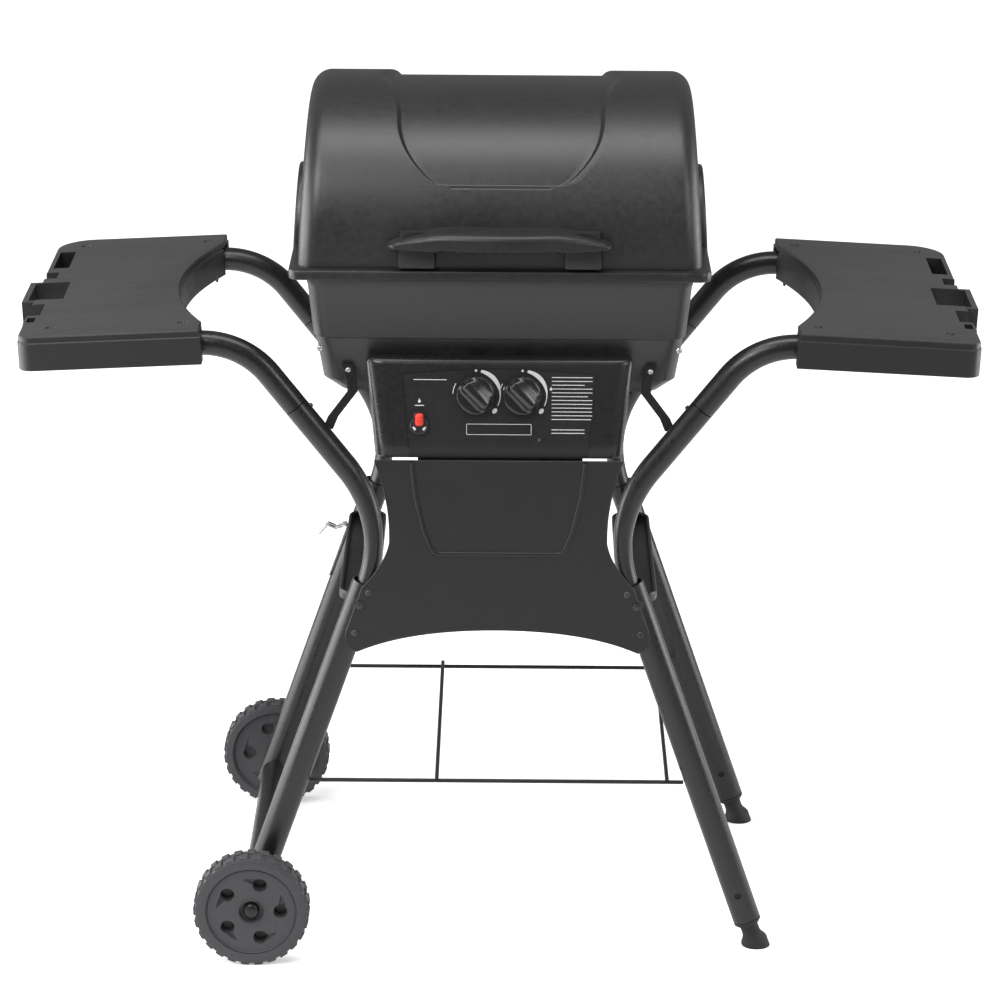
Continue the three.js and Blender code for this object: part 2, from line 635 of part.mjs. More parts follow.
function lidGeometry() {
  const shell = cut(lidForm(0), lidForm(CASTING_WALL), box([-240, -190, 900], [240, 190, LID_BASE_Z]));
  const flangeBottom = BOX_TOP_Z + RUNNING_GAP;
  const flangeHeight = 13.6;
  const flangeShape = roundedRectangle(...FLANGE, 16);
  flangeShape.holes.push(roundedRectangle(252, 205, 12));
  const flange = plate(flangeShape, flangeHeight, 3).translate(0, 0, flangeBottom);
  const oval = { halfWidth: 80, height: 96, hem: 8, innerX: 258, outerX: 281 };
  const padShape = new THREE.Shape();
  padShape.moveTo(oval.halfWidth, LID_BASE_Z - oval.hem);
  padShape.lineTo(oval.halfWidth, LID_BASE_Z);
  padShape.absellipse(0, LID_BASE_Z, oval.halfWidth, oval.height, 0, Math.PI);
  padShape.lineTo(-oval.halfWidth, LID_BASE_Z - oval.hem);
  const pad = endPlate(padShape, oval.innerX, oval.outerX, 8);
  const boss = bar(point(254, RACK.y, RACK.z), point(264, RACK.y, RACK.z), 8, 10);
  const lugX = [HINGE.x + GAP, HINGE.x + 11];
  const lugArm = box([lugX[0], FLANGE[1] - 6, HINGE.z - 2.2], [lugX[1], HINGE.y, HINGE.z + 9]);
  const lug = join(lugArm, hingeBarrel(...lugX));
  const halfExtras = [pad, boss, lug];
  const whole = join(shell, flange, ...halfExtras, ...halfExtras.map(mirrored));
  const rackBore = bar(
    point(-260, RACK.y, RACK.z), point(260, RACK.y, RACK.z), SWING.radius + RUNNING_GAP, 10);
  return cut(whole, rackBore, hingeBore, mirrored(hingeBore));
}

add('lid', lidGeometry(), CAST_BLACK);

// A wide visor that stands out from the lid's front, hollow underneath, on two feet.
function lidHandleGeometry() {
  const low = 989;
  const high = 1014;
  const wall = 4.5;
  const outline = (inset) => {
    const shape = new THREE.Shape();
    shape.moveTo(-112 + inset, -190);
    shape.lineTo(-149 + inset, -234);
    shape.quadraticCurveTo(-149 + inset, -243 + inset, -138, -245 + inset);
    shape.quadraticCurveTo(0, -285 + inset, 138, -245 + inset);
    shape.quadraticCurveTo(149 - inset, -243 + inset, 149 - inset, -234);
    shape.lineTo(112 - inset, -190);
    return shape;
  };
  const visor = plate(outline(0), high - low, 6).translate(0, 0, low);
  const hollow = plate(outline(wall), high - low, 6).translate(0, 0, low - wall);
  const feet = [-1, 1].map((way) => {
    const middle = way * 126;
    return box([middle - 12, -240, 962], [middle + 12, -200, high - 2]);
  });
  return cut(join(cut(visor, hollow), ...feet), lidForm(-GAP));
}

add('lid_handle', lidHandleGeometry(), PLASTIC_BLACK);

// ---------------------------------------------------------------- control console

const FACE_TILT = Math.atan(CONSOLE.setBack / (CONSOLE.top - CONSOLE.crease));
const faceY = (z) => CONSOLE.front + (z - CONSOLE.crease) * Math.tan(FACE_TILT);

// The console's sloping face as a frame: x to the right, y up the face, z straight out of it.
const face = new THREE.Group();
face.position.set(0, faceY(KNOB_Z), KNOB_Z);
face.rotation.x = Math.PI / 2 - FACE_TILT;
grill.add(face);
face.updateMatrixWorld();
const onFace = (x, y, z) => point(x, y, z).applyMatrix4(face.matrixWorld);

// The console's outer form, drawn in by the inset: upright below the crease, leaning back above it.
function consoleForm(inset, bottom, top, back) {
  const halfWidth = CONSOLE_HALF_WIDTH[1] - inset;
  const corner = 24 - inset;
  const front = CONSOLE.front + inset;
  const shape = new THREE.Shape();
  shape.moveTo(-halfWidth, back);
  shape.lineTo(-halfWidth, front + corner);
  shape.absarc(-halfWidth + corner, front + corner, corner, Math.PI, Math.PI * 1.5);
  shape.absarc(halfWidth - corner, front + corner, corner, Math.PI * 1.5, Math.PI * 2);
  shape.lineTo(halfWidth, back);
  const form = new THREE.ExtrudeGeometry(shape, { depth: 2, steps: 2, bevelEnabled: false, curveSegments: 4 });
  const levels = [bottom, CONSOLE.crease, top];
  const position = form.attributes.position;
  for (let i = 0; i < position.count; i++) {
    const z = levels[Math.round(position.getZ(i))];
    const rise = (z - CONSOLE.bottom) / (CONSOLE.top - CONSOLE.bottom);
    const width = THREE.MathUtils.lerp(...CONSOLE_HALF_WIDTH, rise) / CONSOLE_HALF_WIDTH[1];
    const lean = Math.max(z - CONSOLE.crease, 0) * Math.tan(FACE_TILT);
    const share = (back - position.getY(i)) / (back - front);
    position.setXYZ(i, position.getX(i) * width, position.getY(i) + lean * share, z);
  }
  return form;
}

const IGNITER = { x: -106, discY: -41, tabY: -33 };

function consoleGeometry() {
  const sheet = 2.5;
  const shell = cut(
    consoleForm(0, CONSOLE.bottom, CONSOLE.top, CONSOLE.back),
    consoleForm(sheet, CONSOLE.bottom - 10, CONSOLE.top - sheet, CONSOLE.back + 10),
  );
  const stemHoles = [-KNOB_X, KNOB_X].map((x) => turned([[0, -30], [7, -30], [7, 30], [0, 30]], 12).translate(x, 0, 0));
  const igniterHole = plate(roundedRectangle(7.3, 10.3, 4), 60, 3).translate(IGNITER.x, IGNITER.tabY, -30);
  const holes = [...stemHoles, igniterHole].map((hole) => hole.applyMatrix4(face.matrixWorld));
  return cut(shell, ...holes);
}

add('control_console', consoleGeometry(), SHEET_BLACK);

const STEM_RADIUS = 3.1;
const VALVE = { front: -3.2, back: -34, boreRadius: 6.2, boreDepth: 13.2 };
const PLUNGER = { low: -13.4, high: -8.4 };

// A round knob with a raised grip bar, hollowed for the end of its stem.
function knobGeometry() {
  const low = 3.4;
  const body = turned([[0, low], [25, low], [26, low + 2], [25.5, 9], [22, 12], [0, 13]], 24);
  const grip = plate(roundedRectangle(6.5, 23.5, 6), 14, 3).translate(0, 0, 7.5).rotateZ(Math.PI / 4);
  const socket = turned([[0, 0], [STEM_RADIUS + GAP, 0], [STEM_RADIUS + GAP, 15], [0, 15]], 10);
  return cut(join(body, grip), socket);
}

function valveStemGeometry() {
  const collar = [PLUNGER.high + GAP, PLUNGER.high + 2.3];
  return turned([[0, PLUNGER.low + 0.4], [STEM_RADIUS, PLUNGER.low + 0.4], [STEM_RADIUS, collar[0]], [5, collar[0]],
    [5, collar[1]], [STEM_RADIUS, collar[1]], [STEM_RADIUS, 14.6], [0, 14.6]], 10);
}

// A sleeve that the stem turns in and that moves in and out with it, against the valve's spring.
function plungerGeometry() {
  const bore = STEM_RADIUS + GAP;
  return turned([[bore, PLUNGER.low], [5.8, PLUNGER.low], [5.8, PLUNGER.high], [bore, PLUNGER.high],
    [bore, PLUNGER.low]], 12);
}

// A brass gas valve with its orifice hood at the back.
function valveGeometry() {
  const body = box([-11, -14, VALVE.back], [11, 12, VALVE.front]);
  const hood = turned([[0, VALVE.back - 9], [4.5, VALVE.back - 9], [6, VALVE.back + 1], [0, VALVE.back + 1]], 10);
  const bore = turned([[0, VALVE.front - VALVE.boreDepth], [VALVE.boreRadius, VALVE.front - VALVE.boreDepth],
    [VALVE.boreRadius, 2], [0, 2]], 12);
  return cut(join(body, hood), bore);
}

const MANIFOLD = { y: -22.3, z: -19, radius: 8, from: -58, to: 96 };

// The manifold pipe under the two valves, with the inlet fitting for the hose at its right end.
function manifoldGeometry() {
  const along = (x) => point(x, MANIFOLD.y, MANIFOLD.z);
  const pipe = bar(along(MANIFOLD.from), along(MANIFOLD.to), MANIFOLD.radius, 12);
  const inlet = bar(along(MANIFOLD.to - 4), along(MANIFOLD.to + 18), 11, 6);
  const passage = bar(along(MANIFOLD.from + 6), along(MANIFOLD.to + 30), 5, 8);
  return cut(join(pipe, inlet), passage);
}

add('gas_manifold', manifoldGeometry(), BRASS, face);

const knob = knobGeometry();
const valveStem = valveStemGeometry();
const plunger = plungerGeometry();
const valve = valveGeometry();
for (const [side, x] of [['left', -KNOB_X], ['right', KNOB_X]]) {
  add(`valve_${side}`, valve, BRASS, face).position.x = x;
  add(`valve_plunger_${side}`, plunger, BRASS, face).position.x = x;
  add(`valve_stem_${side}`, valveStem, STEEL, face).position.x = x;
  add(`knob_${side}`, knob, PLASTIC_BLACK, face).position.x = x;
}

// A tube burner: its mixing mouth faces the valve's orifice, it climbs through the firebox's front
// opening and loops out to its own side.
function burnerGeometry() {
  const level = 816;
  const loop = { near: -56, far: 100, outer: 196, end: 60 };
  const corners = [
    onFace(KNOB_X, 0, VALVE.back - 3), onFace(KNOB_X, 0, -75), point(KNOB_X, -100, level),
    point(KNOB_X, loop.near, level), point(loop.outer, loop.near, level), point(loop.outer, loop.far, level),
    point(loop.end, loop.far, level),
  ];
  return tubeAlong(new BentPath(corners, 20, 2), 10, 8.4, 6);
}

const burner = burnerGeometry();
for (const [side, half] of Object.entries(sides)) add(`burner_${side}`, burner, BLUED_STEEL, half);

const electrode = turned([[0, 0], [1.2, 0], [1.2, 8], [4, 8], [4, 42], [0, 42]], 8);
const spark = add('igniter_electrode', electrode, CERAMIC);
spark.position.set(90, -22, 830);
spark.rotation.x = Math.PI / 2;

// The igniter's round bezel has a collar, higher than its middle, in which the push button slides.
function igniterBezelGeometry() {
  const offset = IGNITER.tabY - IGNITER.discY;
  const disc = turned([[0, GAP], [12.8, GAP], [12.8, 2], [11, 3.6], [0, 3.6]], 20);
  const collar = plate(roundedRectangle(7.9, 11, 4.5), 4.6 - GAP, 3).translate(0, offset, GAP);
  const sleeve = plate(roundedRectangle(7, 10, 3.8), 24, 3).translate(0, offset, -22);
  const bore = plate(roundedRectangle(5.9, 8.9, 3.2), 60, 3).translate(0, offset, -30);
  return cut(join(disc, collar, sleeve), bore);
}

add('igniter_bezel', igniterBezelGeometry(), PLASTIC_BLACK, face).position.set(IGNITER.x, IGNITER.discY, 0);
const button = plate(roundedRectangle(5.5, 8.5, 3), 27, 3);
add('igniter_button', button, SIGNAL_RED, face).position.set(IGNITER.x, IGNITER.tabY, -16);

// ---------------------------------------------------------------- skirt panel

// A pressed panel in front of the legs: its sides draw in at the waist and its lower edge is arched.
function skirtGeometry() {
  const top = 703;
  const shape = new THREE.Shape();
  shape.moveTo(-165, top);
  shape.quadraticCurveTo(-143, 645, -145, 588);
  shape.quadraticCurveTo(-150, 558, -182, 524);
  shape.lineTo(-203, 464);
  shape.quadraticCurveTo(-209, 444, -190, 434);
  shape.quadraticCurveTo(-120, 466, 0, 466);
  shape.quadraticCurveTo(120, 466, 190, 434);
  shape.quadraticCurveTo(209, 444, 203, 464);
  shape.lineTo(182, 524);
  shape.quadraticCurveTo(150, 558, 145, 588);
  shape.quadraticCurveTo(143, 645, 165, top);
  const back = -(LEG_PLANE + LEG_RADIUS + GAP);
  return frontPlate(shape, back - 2, back, 5);
}

add('skirt_panel', skirtGeometry(), SHEET_BLACK);

// ---------------------------------------------------------------- grease cup

const CUP = { top: 748, bottom: 692, radius: 36.5, ring: 38.6, wire: 1.6 };

const cupProfile = [[0, CUP.bottom], [30, CUP.bottom], [CUP.radius, CUP.top], [40.4, CUP.top], [40.4, CUP.top + 1.5],
  [CUP.radius - 1, CUP.top + 1.5], [29, CUP.bottom + 1.2], [0, CUP.bottom + 1.2]];
add('grease_cup', turned(cupProfile, 20), STEEL);

// A wire ring under the cup's rim, hung from the firebox's floor by two uprights.
function greaseClipGeometry() {
  const z = CUP.top - CUP.wire - GAP;
  const out = CUP.ring + 5;
  const ring = new THREE.TorusGeometry(CUP.ring, CUP.wire, 6, 20).translate(0, 0, z);
  const hangers = [-1, 1].map((way) => {
    const corners = [point(0, way * CUP.ring, z), point(0, way * out, z), point(0, way * out, BOX_FLOOR_Z - GAP)];
    return tubeAlong(new BentPath(corners, 2, 2), CUP.wire, 0, 6);
  });
  return join(ring, ...hangers);
}

add('grease_cup_clip', greaseClipGeometry(), STEEL);

// ---------------------------------------------------------------- side tables

// The table's outline seen from above, for the right-hand side: x from the inner edge outwards.
function tableOutline(inset) {
  const depth = TABLE_HALF_DEPTH - inset;
  const width = TABLE_WIDTH - inset;
  const hollow = { end: 220, sag: 45 };
  const frontRadius = 20 - inset;
  const rearRadius = 52 - inset;
  const shape = new THREE.Shape();
  shape.moveTo(inset, -depth);
  shape.lineTo(width - frontRadius, -depth);
  shape.absarc(width - frontRadius, -depth + frontRadius, frontRadius, -Math.PI / 2, 0);
  shape.absarc(width - rearRadius, depth - rearRadius, rearRadius, 0, Math.PI / 2);
  shape.lineTo(inset, depth);
  shape.lineTo(inset, hollow.end + inset);
  shape.quadraticCurveTo(hollow.sag * 2 + inset, 0, inset, -hollow.end - inset);
  return shape;
}

// A moulded table: a top with a deep skirt around it, recesses for hanging tools along its outer
// edge, and a loop that stands out in the middle.
function tableGeometry() {
  const wall = 3;
  const loop = { low: -82, high: 28, out: 257 };
  const body = plate(tableOutline(0), TABLE_HEIGHT, 8);
  const hollow = plate(tableOutline(wall), TABLE_HEIGHT, 8).translate(0, 0, -wall);
  const loopBlock = box([TABLE_WIDTH - 48, loop.low, 6], [loop.out, loop.high, TABLE_HEIGHT - 1]);
  const toolNotches = [[-160, -100], [44, 78]].map(([from, to]) =>
    box([TABLE_WIDTH - 20, from, -5], [TABLE_WIDTH + 30, to, TABLE_HEIGHT + 5]));
  const notchWalls = [[-163, -97], [41, 81]].map(([from, to]) =>
    box([TABLE_WIDTH - 23, from, 8], [TABLE_WIDTH - wall + 1, to, TABLE_HEIGHT]));
  const trayFrom = [TABLE_WIDTH - 34, 100];
  const trayTo = [TABLE_WIDTH - 6, 200];
  const trayBlock = box([...trayFrom, 14], [...trayTo, TABLE_HEIGHT - 1]);
  const tray = box([trayFrom[0] + wall, trayFrom[1] + wall, 17], [trayTo[0] - wall, trayTo[1] - wall, TABLE_HEIGHT + 5]);
  const loopOpening = box([TABLE_WIDTH - 42, loop.low + 8, -5], [loop.out - 8, loop.high - 8, TABLE_HEIGHT + 5]);
  const frontSlot = box([TABLE_WIDTH - 16, -196, -5], [TABLE_WIDTH - 5, -172, TABLE_HEIGHT + 5]);
  const slotBlock = box([TABLE_WIDTH - 20, -200, 6], [TABLE_WIDTH - 1, -168, TABLE_HEIGHT - 1]);
  const armWays = [-1, 1].map((way) => {
    const y = way * LEG_PLANE;
    return box([-20, y - 18.5, -5], [30, y + 18.5, TABLE_HEIGHT - 7]);
  });
  const shell = join(cut(body, hollow), loopBlock, ...notchWalls, trayBlock, slotBlock);
  const made = cut(shell, loopOpening, ...toolNotches, tray, frontSlot, ...armWays);
  return made.translate(0, 0, -TABLE_HEIGHT);
}

const table = tableGeometry();
for (const [side, half] of Object.entries(sides)) {
  const mesh = add(`side_table_${side}`, table, TABLE_GREY, half);
  mesh.position.set(TABLE_INNER_X, 0, TABLE_TOP_Z);
  mesh.rotation.y = TABLE_DROOP;
}

export default grill;
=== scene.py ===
import math
import random

import bmesh
import bpy
from mathutils import Matrix, Vector


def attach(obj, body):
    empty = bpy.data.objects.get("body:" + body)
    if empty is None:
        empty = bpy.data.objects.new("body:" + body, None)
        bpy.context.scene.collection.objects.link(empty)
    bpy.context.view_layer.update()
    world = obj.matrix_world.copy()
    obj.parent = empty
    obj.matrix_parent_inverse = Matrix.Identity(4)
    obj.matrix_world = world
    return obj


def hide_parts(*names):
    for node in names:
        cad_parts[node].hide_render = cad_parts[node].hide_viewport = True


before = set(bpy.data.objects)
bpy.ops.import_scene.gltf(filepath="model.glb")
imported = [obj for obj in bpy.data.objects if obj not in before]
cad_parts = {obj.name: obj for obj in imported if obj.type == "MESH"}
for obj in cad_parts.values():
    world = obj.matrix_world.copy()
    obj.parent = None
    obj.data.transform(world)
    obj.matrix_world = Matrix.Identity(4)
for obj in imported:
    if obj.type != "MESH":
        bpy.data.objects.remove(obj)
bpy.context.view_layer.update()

# Sizes are in millimetres, in the frame's axes: +X to the user's right, +Y away from the user, +Z up.
# Each mesh is turned into metres as it is made.
MM = 0.001


# ---------------------------------------------------------------- studio
# A plain pale floor and soft white light from all round, with large soft boxes above and to the
# front, and a low one on each side. The camera stands a little above the grill, in front of it.

def place_camera():
    pitch, yaw, roll = (math.radians(angle) for angle in (17.21, -0.131, 0.37))
    forward = Vector((math.sin(yaw) * math.cos(pitch), math.cos(yaw) * math.cos(pitch), -math.sin(pitch)))
    level = Vector((math.cos(yaw), -math.sin(yaw), 0))
    above = level.cross(forward)
    right = math.cos(roll) * level + math.sin(roll) * above
    up = -math.sin(roll) * level + math.cos(roll) * above
    camera = bpy.data.objects.new("camera", bpy.data.cameras.new("camera"))
    camera.data.lens = 144
    camera.data.sensor_width = 36
    turn = Matrix((right, up, -forward)).transposed().to_4x4()
    camera.matrix_world = Matrix.Translation((0.0138, -5.3554, 2.2296)) @ turn
    bpy.context.scene.collection.objects.link(camera)
    bpy.context.scene.camera = camera


def soft_box(name, place, aim, size, power):
    light = bpy.data.lights.new(name, "AREA")
    light.shape = "RECTANGLE"
    light.size, light.size_y = size
    light.energy = power
    lamp = bpy.data.objects.new(name, light)
    lamp.location = place
    lamp.rotation_euler = (Vector(aim) - Vector(place)).to_track_quat("-Z", "Y").to_euler()
    bpy.context.scene.collection.objects.link(lamp)


def add_node(tree, kind, inputs=None, **settings):
    made = tree.nodes.new(kind)
    for name, value in settings.items():
        setattr(made, name, value)
    for key, value in (inputs or {}).items():
        if isinstance(value, bpy.types.NodeSocket):
            tree.links.new(value, made.inputs[key])
        else:
            made.inputs[key].default_value = value
    return made


def times(tree, first, second):
    return add_node(tree, "ShaderNodeMath", {0: first, 1: second}, operation="MULTIPLY").outputs[0]


def ranged(tree, value, from_min=0.0, from_max=1.0, to_min=0.0, to_max=1.0):
    limits = {"From Min": from_min, "From Max": from_max, "To Min": to_min, "To Max": to_max}
    return add_node(tree, "ShaderNodeMapRange", {"Value": value, **limits}).outputs[0]


def mixed(tree, share, colour, other):
    return add_node(tree, "ShaderNodeMix", {0: share, 6: colour, 7: other}, data_type="RGBA").outputs[2]


def noise(tree, place, scale, detail):
    given = {"Vector": place, "Scale": scale, "Detail": detail}
    return add_node(tree, "ShaderNodeTexNoise", given).outputs[0]


def own_place(tree):
    return add_node(tree, "ShaderNodeTexCoord").outputs["Object"]


def facing_up(tree):
    normal = add_node(tree, "ShaderNodeNewGeometry").outputs["Normal"]
    return add_node(tree, "ShaderNodeSeparateXYZ", {0: normal}).outputs["Z"]


def light_the_studio():
    world = bpy.data.worlds.new("studio")
    world.use_nodes = True
    tree = world.node_tree
    tree.nodes["Background"].inputs["Color"].default_value = (1, 1, 1, 1)
    seen = add_node(tree, "ShaderNodeLightPath").outputs["Is Camera Ray"]
    strength = ranged(tree, seen, to_min=0.26)
    tree.links.new(strength, tree.nodes["Background"].inputs["Strength"])
    bpy.context.scene.world = world
    bpy.context.scene.view_settings.view_transform = "Standard"
    soft_box("key_light", (-1.6, -2.6, 3.3), (0, 0, 0.9), (1.8, 1.2), 90)
    soft_box("fill_light", (2.6, -2.2, 2.4), (0, 0, 0.7), (0.8, 1.8), 34)
    soft_box("top_light", (0, -0.7, 3.7), (0, 0, 0.9), (3.2, 1.2), 80)
    soft_box("left_light", (-2.2, 0.0, 0.9), (0, 0, 0.9), (2.4, 1.6), 80)
    soft_box("right_light", (2.2, 0.3, 0.9), (0, 0, 0.9), (1.4, 1.4), 34)


def lay_floor():
    reach = 12
    mesh = bpy.data.meshes.new("floor")
    mesh.from_pydata([(-reach, -reach, 0), (reach, -reach, 0), (reach, reach, 0), (-reach, reach, 0)],
                     [], [(0, 1, 2, 3)])
    floor = bpy.data.objects.new("floor", mesh)
    bpy.context.scene.collection.objects.link(floor)
    paper = bpy.data.materials.new("floor_paper")
    paper.use_nodes = True
    tree = paper.node_tree
    shader = tree.nodes["Principled BSDF"]
    patches = add_node(tree, "ShaderNodeTexNoise", {"Scale": 0.8}).outputs[0]
    tint = mixed(tree, patches, (0.9, 0.9, 0.9, 1), (0.94, 0.94, 0.94, 1))
    tree.links.new(tint, shader.inputs["Base Color"])
    shader.inputs["Roughness"].default_value = 0.9
    away = add_node(tree, "ShaderNodeVectorMath", {0: own_place(tree)}, operation="LENGTH").outputs["Value"]
    seen = add_node(tree, "ShaderNodeLightPath").outputs["Is Camera Ray"]
    glow = times(tree, ranged(tree, away, 0.8, 3.0, 0.32, 0.85), seen)
    shader.inputs["Emission Color"].default_value = (1, 1, 1, 1)
    tree.links.new(glow, shader.inputs["Emission Strength"])
    mesh.materials.append(paper)


place_camera()
light_the_studio()
lay_floor()


# ---------------------------------------------------------------- legs and frame tubes
# Mild steel tube in satin black powder coat: 38 mm legs, and 33 mm middle and arm tubes that plug
# into each other. Each joint is held by a sprung lock button, and each leg by a bolt.

FRAME_PLANE = 233  # |y| of every frame tube
WAIST_Z = 615
JOINT_Z = 771
SHOULDER_Z = 861
TABLE_DROOP = math.radians(2.8)


def leg_x(z):
    return 361 - 0.349 * z


def diagonal_x(z):
    return leg_x(WAIST_Z) + (z - WAIST_Z) * math.tan(math.radians(38.4))


def bent_path(corners, bend, steps=10):
    """Straight runs joined by round bends."""
    corners = [Vector(corner) for corner in corners]
    path = [corners[0]]
    for before, corner, after in zip(corners, corners[1:], corners[2:]):
        back, on = (before - corner).normalized(), (after - corner).normalized()
        angle = math.pi - back.angle(on)
        if angle < 1e-3:
            path.append(corner)
            continue
        start = corner + back * bend * math.tan(angle / 2)
        centre = corner + (back + on).normalized() * bend / math.cos(angle / 2)
        axis = (-back).cross(on).normalized()
        for step in range(steps + 1):
            path.append(centre + Matrix.Rotation(angle * step / steps, 3, axis) @ (start - centre))
    path.append(corners[-1])
    return path


def bridge(rings, closed=False):
    """Quads between rings of points. An open run of rings gets a face over each end."""
    count = len(rings[0])
    vertices = [point for ring in rings for point in ring]
    last = len(rings) if closed else len(rings) - 1
    faces = []
    for row in range(last):
        low, high = row * count, ((row + 1) % len(rings)) * count
        for i in range(count):
            j = (i + 1) % count
            faces.append((low + i, low + j, high + j, high + i))
    if not closed:
        faces.append(tuple(range(count)))
        faces.append(tuple(range(len(vertices) - count, len(vertices))))
    return vertices, faces


def swept(path, radius, wall=0, sides=28, square=(0, 1, 0), drawn=None):
    """A bar or a tube along a path. drawn(point) gives its share of full width, across and square."""
    path = [Vector(point) for point in path]
    deep = Vector(square)
    frames = []
    for i, point in enumerate(path):
        ahead = path[min(i + 1, len(path) - 1)] - point
        behind = point - path[max(i - 1, 0)]
        along = (ahead.normalized() + behind.normalized()).normalized()
        if frames:
            deep = frames[-1][1].rotation_difference(along) @ deep
        deep = (deep - along * deep.dot(along)).normalized()
        frames.append((point, along, deep))

    def ring(place, size):
        point, along, deep = place
        across = along.cross(deep)
        flat, thick = drawn(point) if drawn else (1, 1)
        angles = [2 * math.pi * i / sides for i in range(sides)]
        return [point + size * (across * flat * math.cos(a) + deep * thick * math.sin(a)) for a in angles]

    rings = [ring(place, radius) for place in frames]
    if not wall:
        return bridge(rings)
    return bridge(rings + [ring(place, radius - wall) for place in reversed(frames)], closed=True)


def gathered(*shells):
    """Several shells as one."""
    vertices, faces = [], []
    for points, polygons in shells:
        start = len(vertices)
        vertices += list(points)
        faces += [tuple(start + i for i in polygon) for polygon in polygons]
    return vertices, faces


def moved(shell, matrix):
    return [matrix @ Vector(point) for point in shell[0]], shell[1]


def flipped(shell):
    """The same shell on the other side of the grill."""
    return [Vector((-x, y, z)) for x, y, z in shell[0]], shell[1]


def on_side(shell, side):
    """A shell made for the right-hand side, put on its own side."""
    return flipped(shell) if side < 0 else shell


def bare_box(low, high):
    corners = [Vector((x, y, z)) for x in (low[0], high[0]) for y in (low[1], high[1]) for z in (low[2],
                                                                                                 high[2])]
    return corners, [(0, 1, 3, 2), (4, 6, 7, 5), (0, 4, 5, 1), (2, 3, 7, 6), (0, 2, 6, 4), (1, 5, 7, 3)]


def circle(radius, height, sides):
    """Points round +Z at one height."""
    turns = [2 * math.pi * i / sides for i in range(sides)]
    return [Vector((radius * math.cos(turn), radius * math.sin(turn), height)) for turn in turns]


def bare_object(name, shell):
    mesh = bpy.data.meshes.new(name)
    mesh.from_pydata([Vector(point) * MM for point in shell[0]], [], shell[1])
    edit = bmesh.new()
    edit.from_mesh(mesh)
    bmesh.ops.remove_doubles(edit, verts=edit.verts, dist=2e-6)
    bmesh.ops.recalc_face_normals(edit, faces=edit.faces)
    edit.to_mesh(mesh)
    edit.free()
    made = bpy.data.objects.new(name, mesh)
    bpy.context.scene.collection.objects.link(made)
    return made


def carved(shell, tool, operation="DIFFERENCE"):
    """One shell cut by another, or joined to it."""
    kept, other = bare_object("kept", shell), bare_object("other", tool)
    change = kept.modifiers.new("carve", "BOOLEAN")
    change.object = other
    change.operation = operation
    change.solver = "MANIFOLD"
    result = bpy.data.meshes.new_from_object(kept.evaluated_get(bpy.context.evaluated_depsgraph_get()))
    points = [vertex.co / MM for vertex in result.vertices]
    faces = [tuple(polygon.vertices) for polygon in result.polygons]
    for spent in (kept, other):
        bpy.data.objects.remove(spent)
    return points, faces


def piece(name, shell, material, stands_for=(), body="cart", edge=0.0, crease=38):
    """A finished piece: smooth between its creases, with its edges rounded, riding on its body."""
    made = bare_object(name, shell)
    made.data.materials.append(material)
    made.data.shade_smooth()
    made.data.set_sharp_from_angle(angle=math.radians(crease))
    if edge:
        rounding = made.modifiers.new("edges", "BEVEL")
        rounding.width = edge * MM
        rounding.segments = 2
        rounding.limit_method = "ANGLE"
        rounding.angle_limit = math.radians(crease)
        rounding.harden_normals = True
    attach(made, body)
    if stands_for:
        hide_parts(*stands_for)
    return made


def node_group(name, inputs, outputs):
    """A shader node group, with its two ends, from {name: (socket type, value)} and {name: socket type}."""
    group = bpy.data.node_groups.new(name, "ShaderNodeTree")
    for socket, (kind, value) in inputs.items():
        group.interface.new_socket(socket, in_out="INPUT", socket_type=kind).default_value = value
    for socket, kind in outputs.items():
        group.interface.new_socket(socket, in_out="OUTPUT", socket_type=kind)
    return group, group.nodes.new("NodeGroupInput").outputs, group.nodes.new("NodeGroupOutput").inputs


FLOAT, COLOUR = "NodeSocketFloat", "NodeSocketColor"
GREY = (COLOUR, (0.5, 0.5, 0.5, 1))


def make_mottle():
    """Broad and fine variation between two colours, and the same variation as a value."""
    group, given, out = node_group("mottle", {"Colour": GREY, "Other Colour": GREY, "Scale": (FLOAT, 8.0)},
                                   {"Colour": COLOUR, "Value": FLOAT})
    place = own_place(group)
    broad = noise(group, place, given["Scale"], 5.0)
    fine = noise(group, place, times(group, given["Scale"], 23.0), 3.0)
    both = add_node(group, "ShaderNodeMath", {0: broad, 1: fine}, operation="ADD").outputs[0]
    share = ranged(group, both, 0.75, 1.25)
    group.links.new(mixed(group, share, given["Colour"], given["Other Colour"]), out["Colour"])
    group.links.new(share, out["Value"])
    return group


def make_edge_wear():
    """A mask of the outer edges, broken up as rubbing leaves them."""
    group, given, out = node_group("edge_wear", {"Width": (FLOAT, 0.001), "Amount": (FLOAT, 0.5)},
                                   {"Mask": FLOAT})
    turned = add_node(group, "ShaderNodeBevel", {"Radius": given["Width"]}, samples=4).outputs[0]
    true = add_node(group, "ShaderNodeNewGeometry").outputs["Normal"]
    match = add_node(group, "ShaderNodeVectorMath", {0: turned, 1: true}, operation="DOT_PRODUCT")
    edge = ranged(group, match.outputs["Value"], 0.97, 0.80)
    broken = ranged(group, noise(group, own_place(group), 60.0, 4.0), 0.42, 0.66)
    group.links.new(times(group, times(group, edge, broken), given["Amount"]), out["Mask"])
    return group


def make_dust():
    """A mask of the surfaces that face up, where a little dust lies unevenly."""
    group, given, out = node_group("dust", {"Amount": (FLOAT, 0.1)}, {"Mask": FLOAT})
    level = ranged(group, facing_up(group), 0.5, 1.0)
    lying = times(group, level, noise(group, own_place(group), 11.0, 6.0))
    group.links.new(times(group, lying, given["Amount"]), out["Mask"])
    return group


